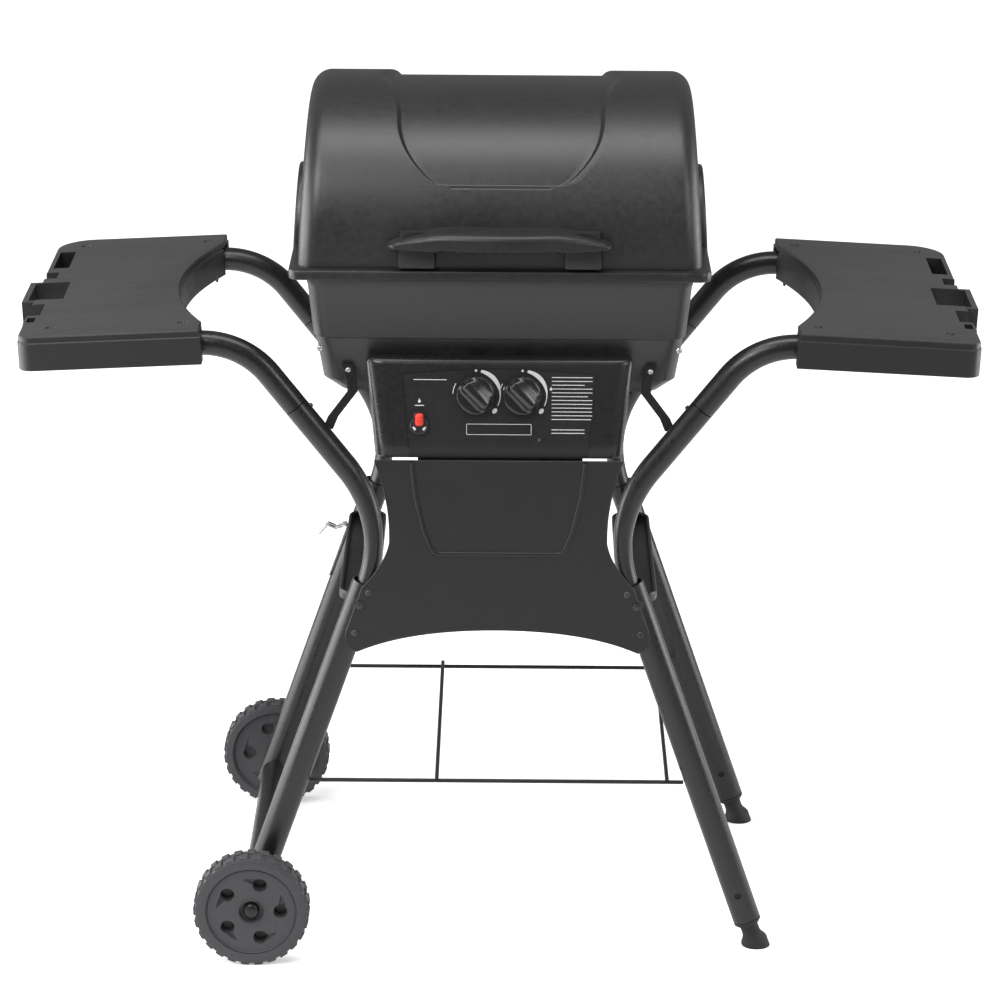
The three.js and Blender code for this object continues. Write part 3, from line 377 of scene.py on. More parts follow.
def make_grain():
    """Fine relief: soft waves of one size, with rounded grains of another."""
    sizes = {"Wave Scale": (FLOAT, 200.0), "Grain Scale": (FLOAT, 900.0), "Grain Share": (FLOAT, 0.5)}
    group, given, out = node_group("grain", sizes, {"Height": FLOAT})
    place = own_place(group)
    waves = noise(group, place, given["Wave Scale"], 2.0)
    grains = add_node(group, "ShaderNodeTexVoronoi", {"Vector": place, "Scale": given["Grain Scale"]},
                      feature="SMOOTH_F1")
    height = add_node(group, "ShaderNodeMix",
                      {0: given["Grain Share"], 2: waves, 3: grains.outputs["Distance"]})
    group.links.new(height.outputs[0], out["Height"])
    return group


MOTTLE, EDGE_WEAR, DUST, GRAIN = make_mottle(), make_edge_wear(), make_dust(), make_grain()


def place_group(tree, group, inputs):
    made = tree.nodes.new("ShaderNodeGroup")
    made.node_tree = group
    for name, value in inputs.items():
        if isinstance(value, bpy.types.NodeSocket):
            tree.links.new(value, made.inputs[name])
        else:
            made.inputs[name].default_value = value
    return made.outputs


def coating(name, colour, other, worn, roughness, relief, metallic=0.0, wear=(0.0012, 0.5), mottle=8.0,
            dust=0.1, gloss=0.35):
    """A material from its two body colours, its worn colour, its roughness from and to, and its relief:
    wave scale, grain scale, share of grain and depth in millimetres."""
    made = bpy.data.materials.new(name)
    made.use_nodes = True
    tree = made.node_tree
    shader = tree.nodes["Principled BSDF"]
    shader.inputs["Metallic"].default_value = metallic
    shader.inputs["Specular IOR Level"].default_value = gloss
    body = place_group(tree, MOTTLE, {"Colour": (*colour, 1), "Other Colour": (*other, 1), "Scale": mottle})
    rubbed = place_group(tree, EDGE_WEAR, {"Width": wear[0], "Amount": wear[1]})[0]
    dusty = place_group(tree, DUST, {"Amount": dust})[0]
    with_wear = mixed(tree, rubbed, body["Colour"], (*worn, 1))
    tree.links.new(mixed(tree, dusty, with_wear, (0.3, 0.29, 0.27, 1)), shader.inputs["Base Color"])
    sheen = ranged(tree, body["Value"], to_min=roughness[0], to_max=roughness[1])
    tree.links.new(sheen, shader.inputs["Roughness"])
    wave, grain, share, depth = relief
    height = place_group(tree, GRAIN, {"Wave Scale": wave, "Grain Scale": grain, "Grain Share": share})[0]
    bump = add_node(tree, "ShaderNodeBump", {"Height": height, "Strength": 0.8, "Distance": depth * MM})
    tree.links.new(bump.outputs[0], shader.inputs["Normal"])
    return made


FRAME_PAINT = coating("frame_powder_coat", (0.006, 0.006, 0.0065), (0.010, 0.010, 0.011),
                      (0.045, 0.045, 0.047),
                      (0.26, 0.38), (260, 900, 0.25, 0.10), wear=(0.0006, 0.2), dust=0.02, gloss=0.4)


def leg(side, end, bottom):
    y = end * FRAME_PLANE
    tube = swept([(leg_x(bottom), y, bottom), (leg_x(526), y, 526)], 19, wall=1.6, sides=40)
    hole_z = 79.5
    drill = swept([(leg_x(hole_z), y - 40, hole_z), (leg_x(hole_z), y + 40, hole_z)], 4.4, square=(0, 0, 1))
    shell = carved(tube, drill)
    return on_side(shell, side)


def middle_tube(side, end):
    y = end * FRAME_PLANE

    def drawn(point):
        share = min(max((690 - point.z) / 100, 0), 1)
        return 1 - 0.23 * share, 1

    corners = [(diagonal_x(JOINT_Z), y, JOINT_Z), (leg_x(WAIST_Z), y, WAIST_Z), (leg_x(478), y, 478)]
    shell = swept(bent_path(corners, 170, 24), 16.5, wall=1.5, drawn=drawn)
    return on_side(shell, side)


def arm_tube(side, end):
    y = end * FRAME_PLANE
    end_x, plug_z = 612, 736
    step_z = JOINT_Z + 0.3
    shoulder = diagonal_x(SHOULDER_Z)
    corners = [(end_x, y, SHOULDER_Z - (end_x - shoulder) * math.tan(TABLE_DROOP)),
               (shoulder, y, SHOULDER_Z),
               (diagonal_x(step_z + 1), y, step_z + 1), (diagonal_x(step_z), y, step_z),
               (diagonal_x(plug_z), y, plug_z)]

    def drawn(point):
        share = 14.7 / 16.5 if point.z <= step_z + 0.01 else 1
        return share, share

    shell = swept(bent_path(corners, 112, 20), 16.5, wall=1.5, drawn=drawn)
    return on_side(shell, side)


SIDES = {"left": -1, "right": 1}
ENDS = {"front": -1, "rear": 1}
CORNERS = [(f"{end_name}_{side_name}", side, end) for side_name, side in SIDES.items()
           for end_name, end in ENDS.items()]
for corner, side, end in CORNERS:
    piece(f"{corner}_leg", leg(side, end, 40 if side > 0 else 58), FRAME_PAINT,
          [f"leg_{corner}"])
    piece(f"{corner}_middle_tube", middle_tube(side, end), FRAME_PAINT,
          [f"mid_tube_{corner}"])
    piece(f"{corner}_arm_tube", arm_tube(side, end), FRAME_PAINT, [f"arm_tube_{corner}"])


def lathe(profile, sides=48):
    """A shell turned about +Z from [radius, height] pairs, from the axis back to it or round a loop."""
    rings = [circle(radius, height, sides) for radius, height in profile]
    return bridge(rings, closed=profile[0][0] > 0)


def stood(shell, place, axis):
    """A shell made about +Z, put at a place with its +Z along an axis."""
    return moved(shell,
                 Matrix.Translation(place) @ Vector(axis).to_track_quat("Z", "Y").to_matrix().to_4x4())


def hex_bolt(across, height):
    """A hexagon head on its washer."""
    washer = lathe([(0, -0.2), (across * 0.95, -0.2), (across * 0.95, 0.7), (0, 0.7)], 28)
    head = lathe([(0, 0.4), (across * 0.56, 0.4), (across * 0.56, height - 0.5), (across * 0.48, height),
                  (0, height)], 6)
    return gathered(washer, head)


def pan_screw(radius, height):
    """A domed screw head with a cross recess."""
    dome = [(radius * math.sin(a), height * math.cos(a)) for a in (math.pi / 2 * i / 6 for i in range(1, 7))]
    head = lathe([(0, height)] + dome + [(radius, -0.4), (0, -0.4)], 28)
    arm = radius * 0.5
    slots = [swept([(-arm * c, -arm * s, height), (arm * c, arm * s, height)], radius * 0.14, sides=4,
                   square=(0, 0, 1)) for c, s in ((1, 0), (0, 1))]
    for slot_bar in slots:
        head = carved(head, slot_bar)
    return head


ZINC = coating("zinc_plate", (0.55, 0.56, 0.57), (0.44, 0.45, 0.46), (0.70, 0.70, 0.70), (0.22, 0.42),
               (420, 1600, 0.3, 0.03), metallic=1.0, wear=(0.0006, 0.3), dust=0.05)
BLACK_ZINC = coating("black_fixings", (0.03, 0.03, 0.03), (0.05, 0.05, 0.052), (0.22, 0.22, 0.22),
                     (0.30, 0.45),
                     (500, 1600, 0.3, 0.03), metallic=0.6, wear=(0.0006, 0.8))

LOCK_Z, LEG_BOLT_Z = 763, 500
diagonal_out = Vector((-math.cos(math.radians(38.4)), 0, math.sin(math.radians(38.4))))
lock_button = lathe([(0, 3.2), (1.6, 3.0), (2.9, 2.1), (3.3, 0.6), (3.3, -2), (0, -2)], 24)
for corner, side, end in CORNERS:
    base = Vector((diagonal_x(LOCK_Z), end * FRAME_PLANE, LOCK_Z)) + 16.3 * diagonal_out
    button = stood(lock_button, base, diagonal_out)
    bolt_place = (leg_x(LEG_BOLT_Z), end * (FRAME_PLANE + 18.8), LEG_BOLT_Z)
    both = gathered(button, stood(hex_bolt(10, 4.5), bolt_place, (0, end, 0)))
    piece(f"{corner}_frame_fixings", on_side(both, side), BLACK_ZINC)


# ---------------------------------------------------------------- feet
# Two black rubber-like plastic plugs, pressed up into the right-hand legs: a collar against the leg's
# end, a narrow neck, and a flared pad cut off level with the ground.

FOOT_RUBBER = coating("foot_plug_rubber", (0.010, 0.010, 0.0105), (0.015, 0.015, 0.0155), (0.07, 0.07, 0.07),
                      (0.6, 0.8),
                      (300, 1200, 0.6, 0.10), dust=0.06)


def foot(end):
    axle_level = Vector((leg_x(79.5), end * FRAME_PLANE, 79.5))
    down = Vector((0.349, 0, -1)).normalized()
    profile = [(0, -18), (16.8, -18), (16.8, 42.6), (18.9, 42.8), (18.9, 46), (17, 48.4), (13.4, 51),
               (12.5, 54),
               (12.5, 63), (13.6, 67), (17.2, 72.6), (18.5, 76), (18.5, 97), (0, 97)]
    plug = stood(lathe(profile, 44), axle_level, down)
    x, y = axle_level.x, axle_level.y
    below = bare_box((x - 80, y - 60, -90), (x + 120, y + 60, 0))
    return carved(plug, below)


for end_name, end in ENDS.items():
    piece(f"{end_name}_foot_plug", foot(end), FOOT_RUBBER, [f"foot_{end_name}"], edge=0.5)


# ---------------------------------------------------------------- wheels and axle
# Moulded dark grey plastic wheels with two staggered rows of tread lugs and five comma-shaped
# recesses. They turn on an 8 mm steel rod inside a black axle tube, under pressed-on cap nuts.

WHEEL_PLASTIC = coating("wheel_plastic", (0.036, 0.037, 0.040), (0.046, 0.047, 0.050), (0.10, 0.10, 0.10),
                        (0.42, 0.58), (240, 1100, 0.5, 0.08), wear=(0.0010, 0.4), dust=0.08)
AXLE = Vector((-leg_x(79.5), 0, 79.5))
WHEEL_FACE = 320
WHEEL_RADIUS = 79.5


def recess_depth(radius, angle):
    """How deep the face is at a point: five round holes, each with a tail that narrows round the wheel."""
    pitch = 2 * math.pi / 5
    turn = (angle + pitch / 2) % pitch - pitch / 2
    ring, hole, tail = 40, 9.5, 0.62
    to_hole = math.hypot(radius * math.cos(turn) - ring, radius * math.sin(turn))
    depth = 16 * min(max((hole - to_hole) / 1.5, 0), 1)
    if 0 < turn < tail:
        share = 1 - turn / tail
        line = ring + 8 * (1 - share)
        off = abs(radius - line)
        depth = max(depth, 9 * share * min(max((7.5 * share - off) / 1.5, 0), 1))
    return depth


def wheel_shell():
    """A wheel about +Z, its outer face at 0."""
    steps = 300
    radii = [4.4, 9, 14.5, 15, 16.5, 17.2] + [18 + 0.9 * i for i in range(47)] + [60.6, 61, 61.4, 61.8, 62.2,
                                                                                  66, 73]

    def height(radius, angle):
        if radius < 15.5:
            return -9
        groove = 1.6 if abs(radius - 61.4) < 0.5 else 0
        dish = -3 if 17 < radius < 60 else -0.6
        return dish - groove - recess_depth(radius, angle)

    angles = [2 * math.pi * i / steps for i in range(steps)]
    rings = [[Vector((r * math.cos(a), r * math.sin(a), height(r, a))) for a in angles] for r in radii]
    tread = [(75.5, -1.6), (76.6, -4), (76.6, -33), (75.2, -36), (66, -37), (62, -31)]
    rings += [circle(radius, z, steps) for radius, z in tread]
    inner_radii = [60 - 0.9 * i for i in range(46)]
    rings += [[Vector((r * math.cos(a), r * math.sin(a), -31 + 0.55 * recess_depth(r, a))) for a in angles]
              for r in inner_radii]
    hub = [(14.4, -31), (13, -32.4), (13, -65.6), (11.6, -67), (4.4, -67)]
    rings += [circle(radius, z, steps) for radius, z in hub]
    return bridge(rings, closed=True)


def tread_lugs():
    """Two rows of blocks, one row half a step round from the other."""
    count, shells = 26, []
    for row, (low, high) in enumerate(((-17.2, -2.4), (-34.6, -19.8))):
        for i in range(count):
            angle = 2 * math.pi * (i + row / 2) / count
            half, root, top = 6.3, 75.4, WHEEL_RADIUS
            rings = []
            for radius, draw in ((root, 0), (top - 0.8, 0.6), (top, 1.5)):
                x0, x1 = -half + draw, half - draw
                rings.append([Vector((radius - 0.5 * (x / half) ** 2, x, z)) for x, z in
                              ((x0, low + draw), (x1, low + draw), (x1, high - draw), (x0, high - draw))])
            shells.append(moved(bridge(rings), Matrix.Rotation(angle, 4, "Z")))
    return gathered(*shells)


cap_nut = lathe([(0, -0.4), (4, -0.6), (8, -1.6), (10, -3.4), (11, -5), (11, -8.4), (4.6, -8.4), (4.6, -3),
                 (0, -3)], 40)
CAP_PLASTIC = coating("cap_plastic", (0.006, 0.006, 0.0065), (0.009, 0.009, 0.0095), (0.06, 0.06, 0.06),
                      (0.28, 0.4),
                      (300, 1400, 0.3, 0.04))
for end_name, end in ENDS.items():
    place = Vector((AXLE.x, end * WHEEL_FACE, AXLE.z))
    wheel = stood(gathered(wheel_shell(), tread_lugs()), place, (0, end, 0))
    piece(f"{end_name}_road_wheel", wheel, WHEEL_PLASTIC, [f"wheel_{end_name}"],
          body=f"wheel_{end_name}", crease=30)
    piece(f"{end_name}_cap_nut", stood(cap_nut, place, (0, end, 0)), CAP_PLASTIC,
          [f"axle_cap_{end_name}"])

rod_reach = WHEEL_FACE - 3.3
piece("axle_steel_rod", swept([AXLE - Vector((0, rod_reach, 0)), AXLE + Vector((0, rod_reach, 0))], 4,
                              square=(0, 0, 1)), ZINC, ["axle_rod"], edge=0.4)
tube_reach = 213.6
piece("axle_cover_tube", swept([AXLE - Vector((0, tube_reach, 0)), AXLE + Vector((0, tube_reach, 0))], 16.5,
                               wall=1.5,
                               sides=40, square=(0, 0, 1)), FRAME_PAINT, ["axle_tube"])


# ---------------------------------------------------------------- side channels and tank wires
# Pressed steel pans, bolted between each front and rear leg, with a rolled rim and rounded ends.
# Below them two long wires and two cross wires keep a gas cylinder in its place.

SHEET_PAINT = coating("sheet_paint", (0.006, 0.006, 0.0062), (0.009, 0.009, 0.0094), (0.04, 0.04, 0.04),
                      (0.32, 0.44), (220, 900, 0.3, 0.10), wear=(0.0006, 0.2), dust=0.03)


def rounded_ring(half_x, half_y, radius, z, steps=10):
    """The outline of a rounded rectangle at one height."""
    ring = []
    for quarter, (sx, sy) in enumerate(((1, 1), (-1, 1), (-1, -1), (1, -1))):
        for step in range(steps + 1):
            angle = math.pi / 2 * (quarter + step / steps)
            ring.append(Vector((sx * (half_x - radius) + radius * math.cos(angle),
                                sy * (half_y - radius) + radius * math.sin(angle), z)))
    return ring


def side_channel(side):
    floor, rim, half_x, half_y = 483, 14, 27, 190
    levels = [(2, 0), (0.6, 0.5), (0, 2), (0, rim - 2.6), (0.6, rim - 0.8), (1.8, rim), (3.4, rim),
              (4.4, rim - 1),
              (4.4, rim - 2.4), (2.4, rim - 3.4), (2.4, 3.4), (3.6, 2.2)]
    rings = [rounded_ring(half_x - inset, half_y - inset, half_x - 1 - inset, floor + z) for inset,
             z in levels]
    pan = bridge(rings)
    tab = bare_box((-9, -213.5, floor + 0.2), (9, 213.5, floor + 1.9))
    slot_cut = bare_box((-5, -162, floor - 5), (5, -146, floor + 6))
    shell = moved(carved(pan, slot_cut), Matrix.Translation((leg_x(floor + rim / 2), 0, 0)))
    tab = moved(tab, Matrix.Translation((leg_x(floor + rim / 2), 0, 0)))
    both = gathered(shell, tab)
    return on_side(both, side)


for side_name, side in SIDES.items():
    piece(f"{side_name}_tray_channel", side_channel(side), SHEET_PAINT,
          [f"side_channel_{side_name}"],
          edge=0.35)
    bolts = gathered(*[stood(hex_bolt(7, 4), (side * leg_x(490), y, 485), (0, 0, 1)) for y in (-202, 158,
                                                                                               202)])
    piece(f"{side_name}_channel_bolts", bolts, BLACK_ZINC)

WIRE, WIRE_Z = 2.75, 240
wire_reach = leg_x(WIRE_Z) - 19 / math.cos(math.atan(0.349)) - 1.5
for end_name, end in ENDS.items():
    y = end * FRAME_PLANE
    piece(f"{end_name}_long_wire", swept([(-wire_reach, y, WIRE_Z), (wire_reach, y, WIRE_Z)], WIRE,
                                         sides=20),
          SHEET_PAINT, [f"tank_wire_{end_name}"], edge=0.5)
for side_name, x in (("left", -82), ("right", 233)):
    z = WIRE_Z + 2 * WIRE + 0.3
    piece(f"{side_name}_cross_wire", swept([(x, -FRAME_PLANE - 4, z), (x, FRAME_PLANE + 4, z)], WIRE,
                                           sides=20,
                                           square=(0, 0, 1)), SHEET_PAINT,
          [f"tank_cross_wire_{side_name}"], edge=0.5)


def wire_hook():
    """A narrow U beside the rear left leg, its two ends waved outwards."""
    wire = 1.9

    def beside(z):
        return leg_x(z) + 19 / math.cos(math.atan(0.349)) + wire + 0.3

    def prong(y):
        return [(264, y, 447), (251, y, 461), (240, y, 456), (231, y, 458), (beside(470), y, 470)]

    near, far = FRAME_PLANE - 6, FRAME_PLANE + 6
    corners = prong(near) + [(beside(384), near, 384), (beside(384), far, 384)] + prong(far)[::-1]
    return flipped(swept(bent_path(corners, 3, 6), wire, sides=16))


piece("tool_wire_hook", wire_hook(), ZINC, ["wire_hook"])


# ---------------------------------------------------------------- firebox and its straps
# Cast aluminium in textured heat-proof black: a tapered lower tier, a step, and an upper tier with a
# thickened rim. Four flat steel straps bolt it to the middle tubes.

CAST_PAINT = coating("cast_black_paint", (0.008, 0.008, 0.008), (0.012, 0.012, 0.012), (0.05, 0.05, 0.05),
                     (0.33, 0.42), (620, 1300, 0.5, 0.30), wear=(0.0010,
                                                                 0.2), mottle=5.0, dust=0.03, gloss=0.5)
RIM_Z = 943


def firebox_shell():
    outer = [(205, 160, 20, 775), (214, 168, 22, 777), (236, 188, 24, 797), (245.5, 199, 24, 855.5),
             (246, 199.5, 24, 857), (249, 202.5, 24, 858.6), (249.2, 202.7, 24, 862), (256, 209, 24, 929),
             (257, 210, 24, 931), (257, 210, 24, 942), (256, 209, 23, RIM_Z)]
    wall = 4
    inner = [(hx - wall, hy - wall, max(r - wall, 4), max(z, 775 + wall)) for hx, hy, r,
             z in reversed(outer)]
    inner[0] = (252, 205, 19, RIM_Z)
    rings = [rounded_ring(hx, hy, r, z) for hx, hy, r, z in outer + inner]
    shell = bridge(rings)
    for tool in (bare_box((-52, -230, 765), (52, -130, 806)),
                 lathe([(0, 745), (9, 745), (9, 805), (0, 805)], 28),
                 swept([(-262, 94, 930), (262, 94, 930)], 2.9, sides=16)):
        shell = carved(shell, tool)
    return shell


def firebox_lug(side):
    """An ear on the rear wall that holds one end of a hinge pin."""
    x0, x1 = 140, 151.7
    outline = [(203, 895), (216, 895), (252, 938), (246, 942.5), (205, 942.5)]
    rings = [[Vector((x, y, z)) for y, z in outline] for x in (x0, x1)]
    barrel = swept([(x0, 244, 946), (x1, 244, 946)], 9.5, sides=28)
    ear = carved(carved(bridge(rings), barrel, "UNION"),
                 swept([(130, 244, 946), (165, 244, 946)], 4.4, sides=20))
    return on_side(ear, side)


def ledges(side):
    grate_ledge = bare_box((side * 243, -170, 898), (side * 251, 170, 902))
    tent_ledge = bare_box((side * 224, -70, 842), (side * 240, 70, 846))
    return gathered(grate_ledge, tent_ledge)


piece("firebox_casting", gathered(firebox_shell(), *[firebox_lug(side) for side in (-1, 1)],
                                  *[ledges(side) for side in (-1, 1)]),
      CAST_PAINT, ["firebox"], edge=0.8)


def strap(side, end):
    """A flat strap, bent in plan like a dog's leg and tipped to lie on the firebox's wall."""
    line = [(229, 735), (222, 752), (196, 786), (197, 800), (204, 822)]
    outline = [(x - 7, z) for x, z in line] + [(x + 7, z) for x, z in reversed(line)]
    rings = [[Vector((x, y, z - 743)) for x, z in outline] for y in (0, 3)]
    tip = Matrix.Rotation(end * math.atan(15 / 72), 4, "X")
    place = Matrix.Translation((0, -213.5 if end < 0 else 210.5, 743))
    flat = moved(bridge(rings), place @ tip)
    return on_side(flat, side)


for corner, side, end in CORNERS:
    piece(f"{corner}_box_strap", strap(side, end), SHEET_PAINT, [f"firebox_strap_{corner}"],
          edge=0.4)
    screws = gathered(stood(pan_screw(4.4, 2.6), (side * 202, end * 197.5, 812), (0, end, -0.15)),
                      stood(pan_screw(4.4, 2.6), (side * 240, end * 197, 842), (0, end, -0.1)))
    piece(f"{corner}_box_screws", screws, ZINC)


# ---------------------------------------------------------------- burners and gas parts
# Two tube burners of stainless steel with a row of gas ports, fed by brass valves on one pipe across
# the console. A ceramic electrode lights them, and a folded steel roof keeps dripping fat off them.

HEATED_STEEL = coating("heated_steel", (0.28, 0.25, 0.22), (0.12, 0.105, 0.10), (0.5, 0.48, 0.45),
                       (0.34, 0.6),
                       (180, 900, 0.4, 0.05), metallic=0.9, wear=(0.0008, 0.4), mottle=14.0, dust=0.3)
BRASS = coating("valve_brass", (0.46, 0.33, 0.14), (0.36, 0.25, 0.10), (0.7, 0.56, 0.3), (0.28, 0.45),
                (300, 1500, 0.3, 0.03), metallic=1.0, wear=(0.0008, 0.5))
CERAMIC = coating("electrode_ceramic", (0.72, 0.70, 0.64), (0.6, 0.57, 0.5), (0.8, 0.78, 0.72), (0.3, 0.5),
                  (200, 1200, 0.5, 0.04), dust=0.3)

FACE_LEAN = math.atan(20 / 114)  # of the console's face, back from the vertical
FACE_CENTRE = Vector((0, -245 + (789 - 722) * math.tan(FACE_LEAN), 789))
FACE_UP = Vector((0, math.sin(FACE_LEAN), math.cos(FACE_LEAN)))
FACE_OUT = Vector((0, -math.cos(FACE_LEAN), math.sin(FACE_LEAN)))
KNOB_X = 31


def on_face(shell, x=0, y=0, z=0):
    """A shell made on a sheet, x to the right, y up and z out of it, put on the console's sloping face."""
    turn = Matrix(((1, 0, 0), FACE_UP, FACE_OUT)).transposed().to_4x4()
    place = FACE_CENTRE + Vector((x, 0, 0)) + y * FACE_UP + z * FACE_OUT
    return moved(shell, Matrix.Translation(place) @ turn)


def burner(side):
    level = 816
    mouth = [FACE_CENTRE + Vector((KNOB_X, 0, 0)) + z * FACE_OUT for z in (-37, -75)]
    corners = mouth + [(KNOB_X, -100, level), (KNOB_X, -56, level), (196, -56, level), (196, 100, level),
                       (60, 100, level)]
    shell = swept(bent_path(corners, 20, 8), 10, wall=1.6, sides=24, square=(1, 0, 0))
    for x in range(60, 190, 10):
        for y, way in ((-56, -1), (100, 1)):
            port = lathe([(0, -3), (1.5, -3), (1.5, 3), (0, 3)], 10)
            shell = carved(shell, stood(port, (x, y + way * 9, level + 2), (0, way, 0.3)))
    return on_side(shell, side)


def valve(side):
    body = bare_box((-11, -14, -34), (11, 12, -3.2))
    hood = lathe([(0, -43), (4.5, -43), (6, -33), (0, -33)], 24)
    bore = lathe([(0, -16.4), (6.2, -16.4), (6.2, 2), (0, 2)], 24)
    return on_face(carved(carved(body, hood, "UNION"), bore), x=side * KNOB_X)


def manifold():
    pipe = swept([(-58, -22.3, -19), (96, -22.3, -19)], 8, sides=28)
    inlet = swept([(92, -22.3, -19), (114, -22.3, -19)], 11, sides=6)
    passage = swept([(-52, -22.3, -19), (126, -22.3, -19)], 5, sides=20)
    return on_face(carved(carved(pipe, inlet, "UNION"), passage))


for side_name, side in SIDES.items():
    piece(f"{side_name}_tube_burner", burner(side), HEATED_STEEL,
          [f"burner_{side_name}"])
    piece(f"{side_name}_gas_valve", valve(side), BRASS, [f"valve_{side_name}"], edge=0.6)
    sleeve = lathe([(3.4, -13.4), (5.8, -13.4), (5.8, -8.4), (3.4, -8.4)], 28)
    piece(f"{side_name}_valve_sleeve", on_face(sleeve, x=side * KNOB_X), BRASS,
          [f"valve_plunger_{side_name}"], body=f"plunger_{side_name}", edge=0.2)
piece("gas_pipe", manifold(), BRASS, ["gas_manifold"], edge=0.4)

spark = lathe([(0, 0), (1.2, 0), (1.2, 8), (3.4, 8.6), (4, 10), (4, 30), (3.4, 31), (4, 32), (4, 42),
               (0, 42)], 24)
piece("spark_electrode", stood(spark, (90, -22, 830), (0, -1, 0)), CERAMIC, ["igniter_electrode"])


def heat_roof():
    """A folded sheet with a row of ribs pressed into each slope."""
    rings = []
    steps = 120
    for i in range(steps + 1):
        x = -234 + 468 * i / steps
        rib = 1.1 * (1 + math.cos(2 * math.pi * i / 10)) / 2
        rib *= min(min(i, steps - i) / 6, 1)
        section = []
        for y, z in ((-150, 1.6), (-120, 7.9 + rib), (-20, 29.8 + rib), (0, 34.6), (20, 29.8 + rib),
                     (120, 7.9 + rib),
                     (150, 1.6), (148, 0), (120, 6.2 + rib), (20, 28.2 + rib), (0, 33), (-20, 28.2 + rib),
                     (-120, 6.2 + rib), (-148, 0)):
            section.append(Vector((x, y, 846.4 + z)))
        rings.append(section)
    return bridge(rings)


piece("burner_roof", heat_roof(), HEATED_STEEL, ["heat_tent"])


# ---------------------------------------------------------------- cooking grate
# Porcelain-enamelled steel rods, closely spaced from front to back, welded to a round frame and to
# two cross rods. It lies on the ledges inside the firebox.

ENAMEL = coating("grate_enamel", (0.035, 0.035, 0.036), (0.06, 0.055, 0.05), (0.22, 0.19, 0.17), (0.3, 0.55),
                 (140, 700, 0.5, 0.12), metallic=0.2, wear=(0.0015, 0.7), dust=0.2)


def rod_grid(half_x, half_y, z, rod, count):
    """A rod frame with round corners and rods across it."""
    corners = [(half_x - rod, 0, z), (half_x - rod, half_y - rod, z), (rod - half_x, half_y - rod, z),
               (rod - half_x, rod - half_y, z), (half_x - rod, rod - half_y, z), (half_x - rod, -0.01, z)]
    path = bent_path(corners, 10, 5)
    outer = [swept(path, rod, sides=14, square=(0, 0, 1))]
    for i in range(1, count):
        x = (half_x - rod) * (2 * i / count - 1)
        outer.append(swept([(x, 1.5 * rod - half_y, z), (x, half_y - 1.5 * rod, z)], rod * 0.8, sides=12,
                           square=(0, 0, 1)))
    return gathered(*outer)


grate_rods = rod_grid(247, 182, 905.3, 3, 28)
grate_ties = [swept([(-244, y, 905.3), (244, y, 905.3)], 2.2, sides=12) for y in (-70, 70)]
piece("enamelled_grate", gathered(grate_rods, *grate_ties), ENAMEL, ["cooking_grate"])


# ---------------------------------------------------------------- lid
# One aluminium casting: a barrel with two raised bands at its ends, a sunk middle panel, a rolled
# flange round its lower edge and an oval pad on each end wall. Ears at the rear take the hinge pins.

LID_HALF_WIDTH, LID_HALF_DEPTH = 269, 219
LID_BASE, LID_HEIGHT, LID_LIP = 956, 219, 6
LID_WALL = 4
LID_ROLL = 26
LID_POWER = 2 / 2.3
LID_NARROWING = 0.045
PANEL_DEPTH, PANEL_FOOT, PANEL_FOOT_STEP = 7, 26.5, 2.0


def panel_half_width(angle):
    """Half the width of the sunk panel at an angle above the front edge: rounded at its foot, then wider."""
    waist_angle, waist = 60, 141
    if angle < waist_angle:
        above = max(angle - PANEL_FOOT, 0)
        corner = 16 * math.exp(-above / 0.9)
        return waist - 56 * (1 - above / (waist_angle - PANEL_FOOT)) ** 2.6 - corner
    return waist + 23 * ((angle - waist_angle) / 30) ** 1.2


def panel_step(angle):
    """The width of the slope from a band to the panel: narrow low down, and broad over the top."""
    return 7 + 16 * max((angle - 50) / 40, 0) ** 2


def eased(share):
    share = min(max(share, 0), 1)
    return share * share * (3 - 2 * share)


def panel_sink(x, angle):
    """The share of the panel's depth at a place on the barrel: 0 on the bands, 1 on the panel."""
    angle = min(angle, 180 - angle)
    across = (panel_half_width(angle) - abs(x)) / panel_step(angle) + 0.5
    along = (angle - PANEL_FOOT) / PANEL_FOOT_STEP + 0.5
    return eased(1 - math.hypot(max(1 - across, 0), max(1 - along, 0)))


def lid_columns(angle):
    """Where the barrel's lengthwise lines cross an angle: they follow the panel's edge and its slope."""
    angle = min(angle, 180 - angle)
    edge, step = panel_half_width(angle), panel_step(angle)
    inner, outer = edge - step / 2, edge + step / 2
    right = [inner * i / 14 for i in range(14)] + [inner + step * i / 12 for i in range(12)]
    right += [outer + (LID_HALF_WIDTH - LID_ROLL - outer) * i / 12 for i in range(12)]
    return [-x for x in reversed(right[1:])] + right


def lid_rows():
    """Angles from the front edge to the rear edge, close together over the panel's foot."""
    front = [1.5 * i for i in range(16)] + [23.5 + 0.4 * i for i in range(16)]
    front += [31 + 1.25 * i for i in range(47)]
    return front + [90] + [180 - angle for angle in reversed(front)]


def lid_point(x, angle, inset):
    """A point of the barrel: x along it, and an angle from its front edge over the top to its rear edge."""
    turn = math.radians(angle)
    forward = math.copysign(abs(math.cos(turn)) ** LID_POWER, math.cos(turn))
    rise = max(math.sin(turn), 0) ** LID_POWER * (LID_HEIGHT - inset)
    return Vector((x * (1 - LID_NARROWING * rise / LID_HEIGHT), -forward * (LID_HALF_DEPTH - inset),
                   LID_BASE + rise))


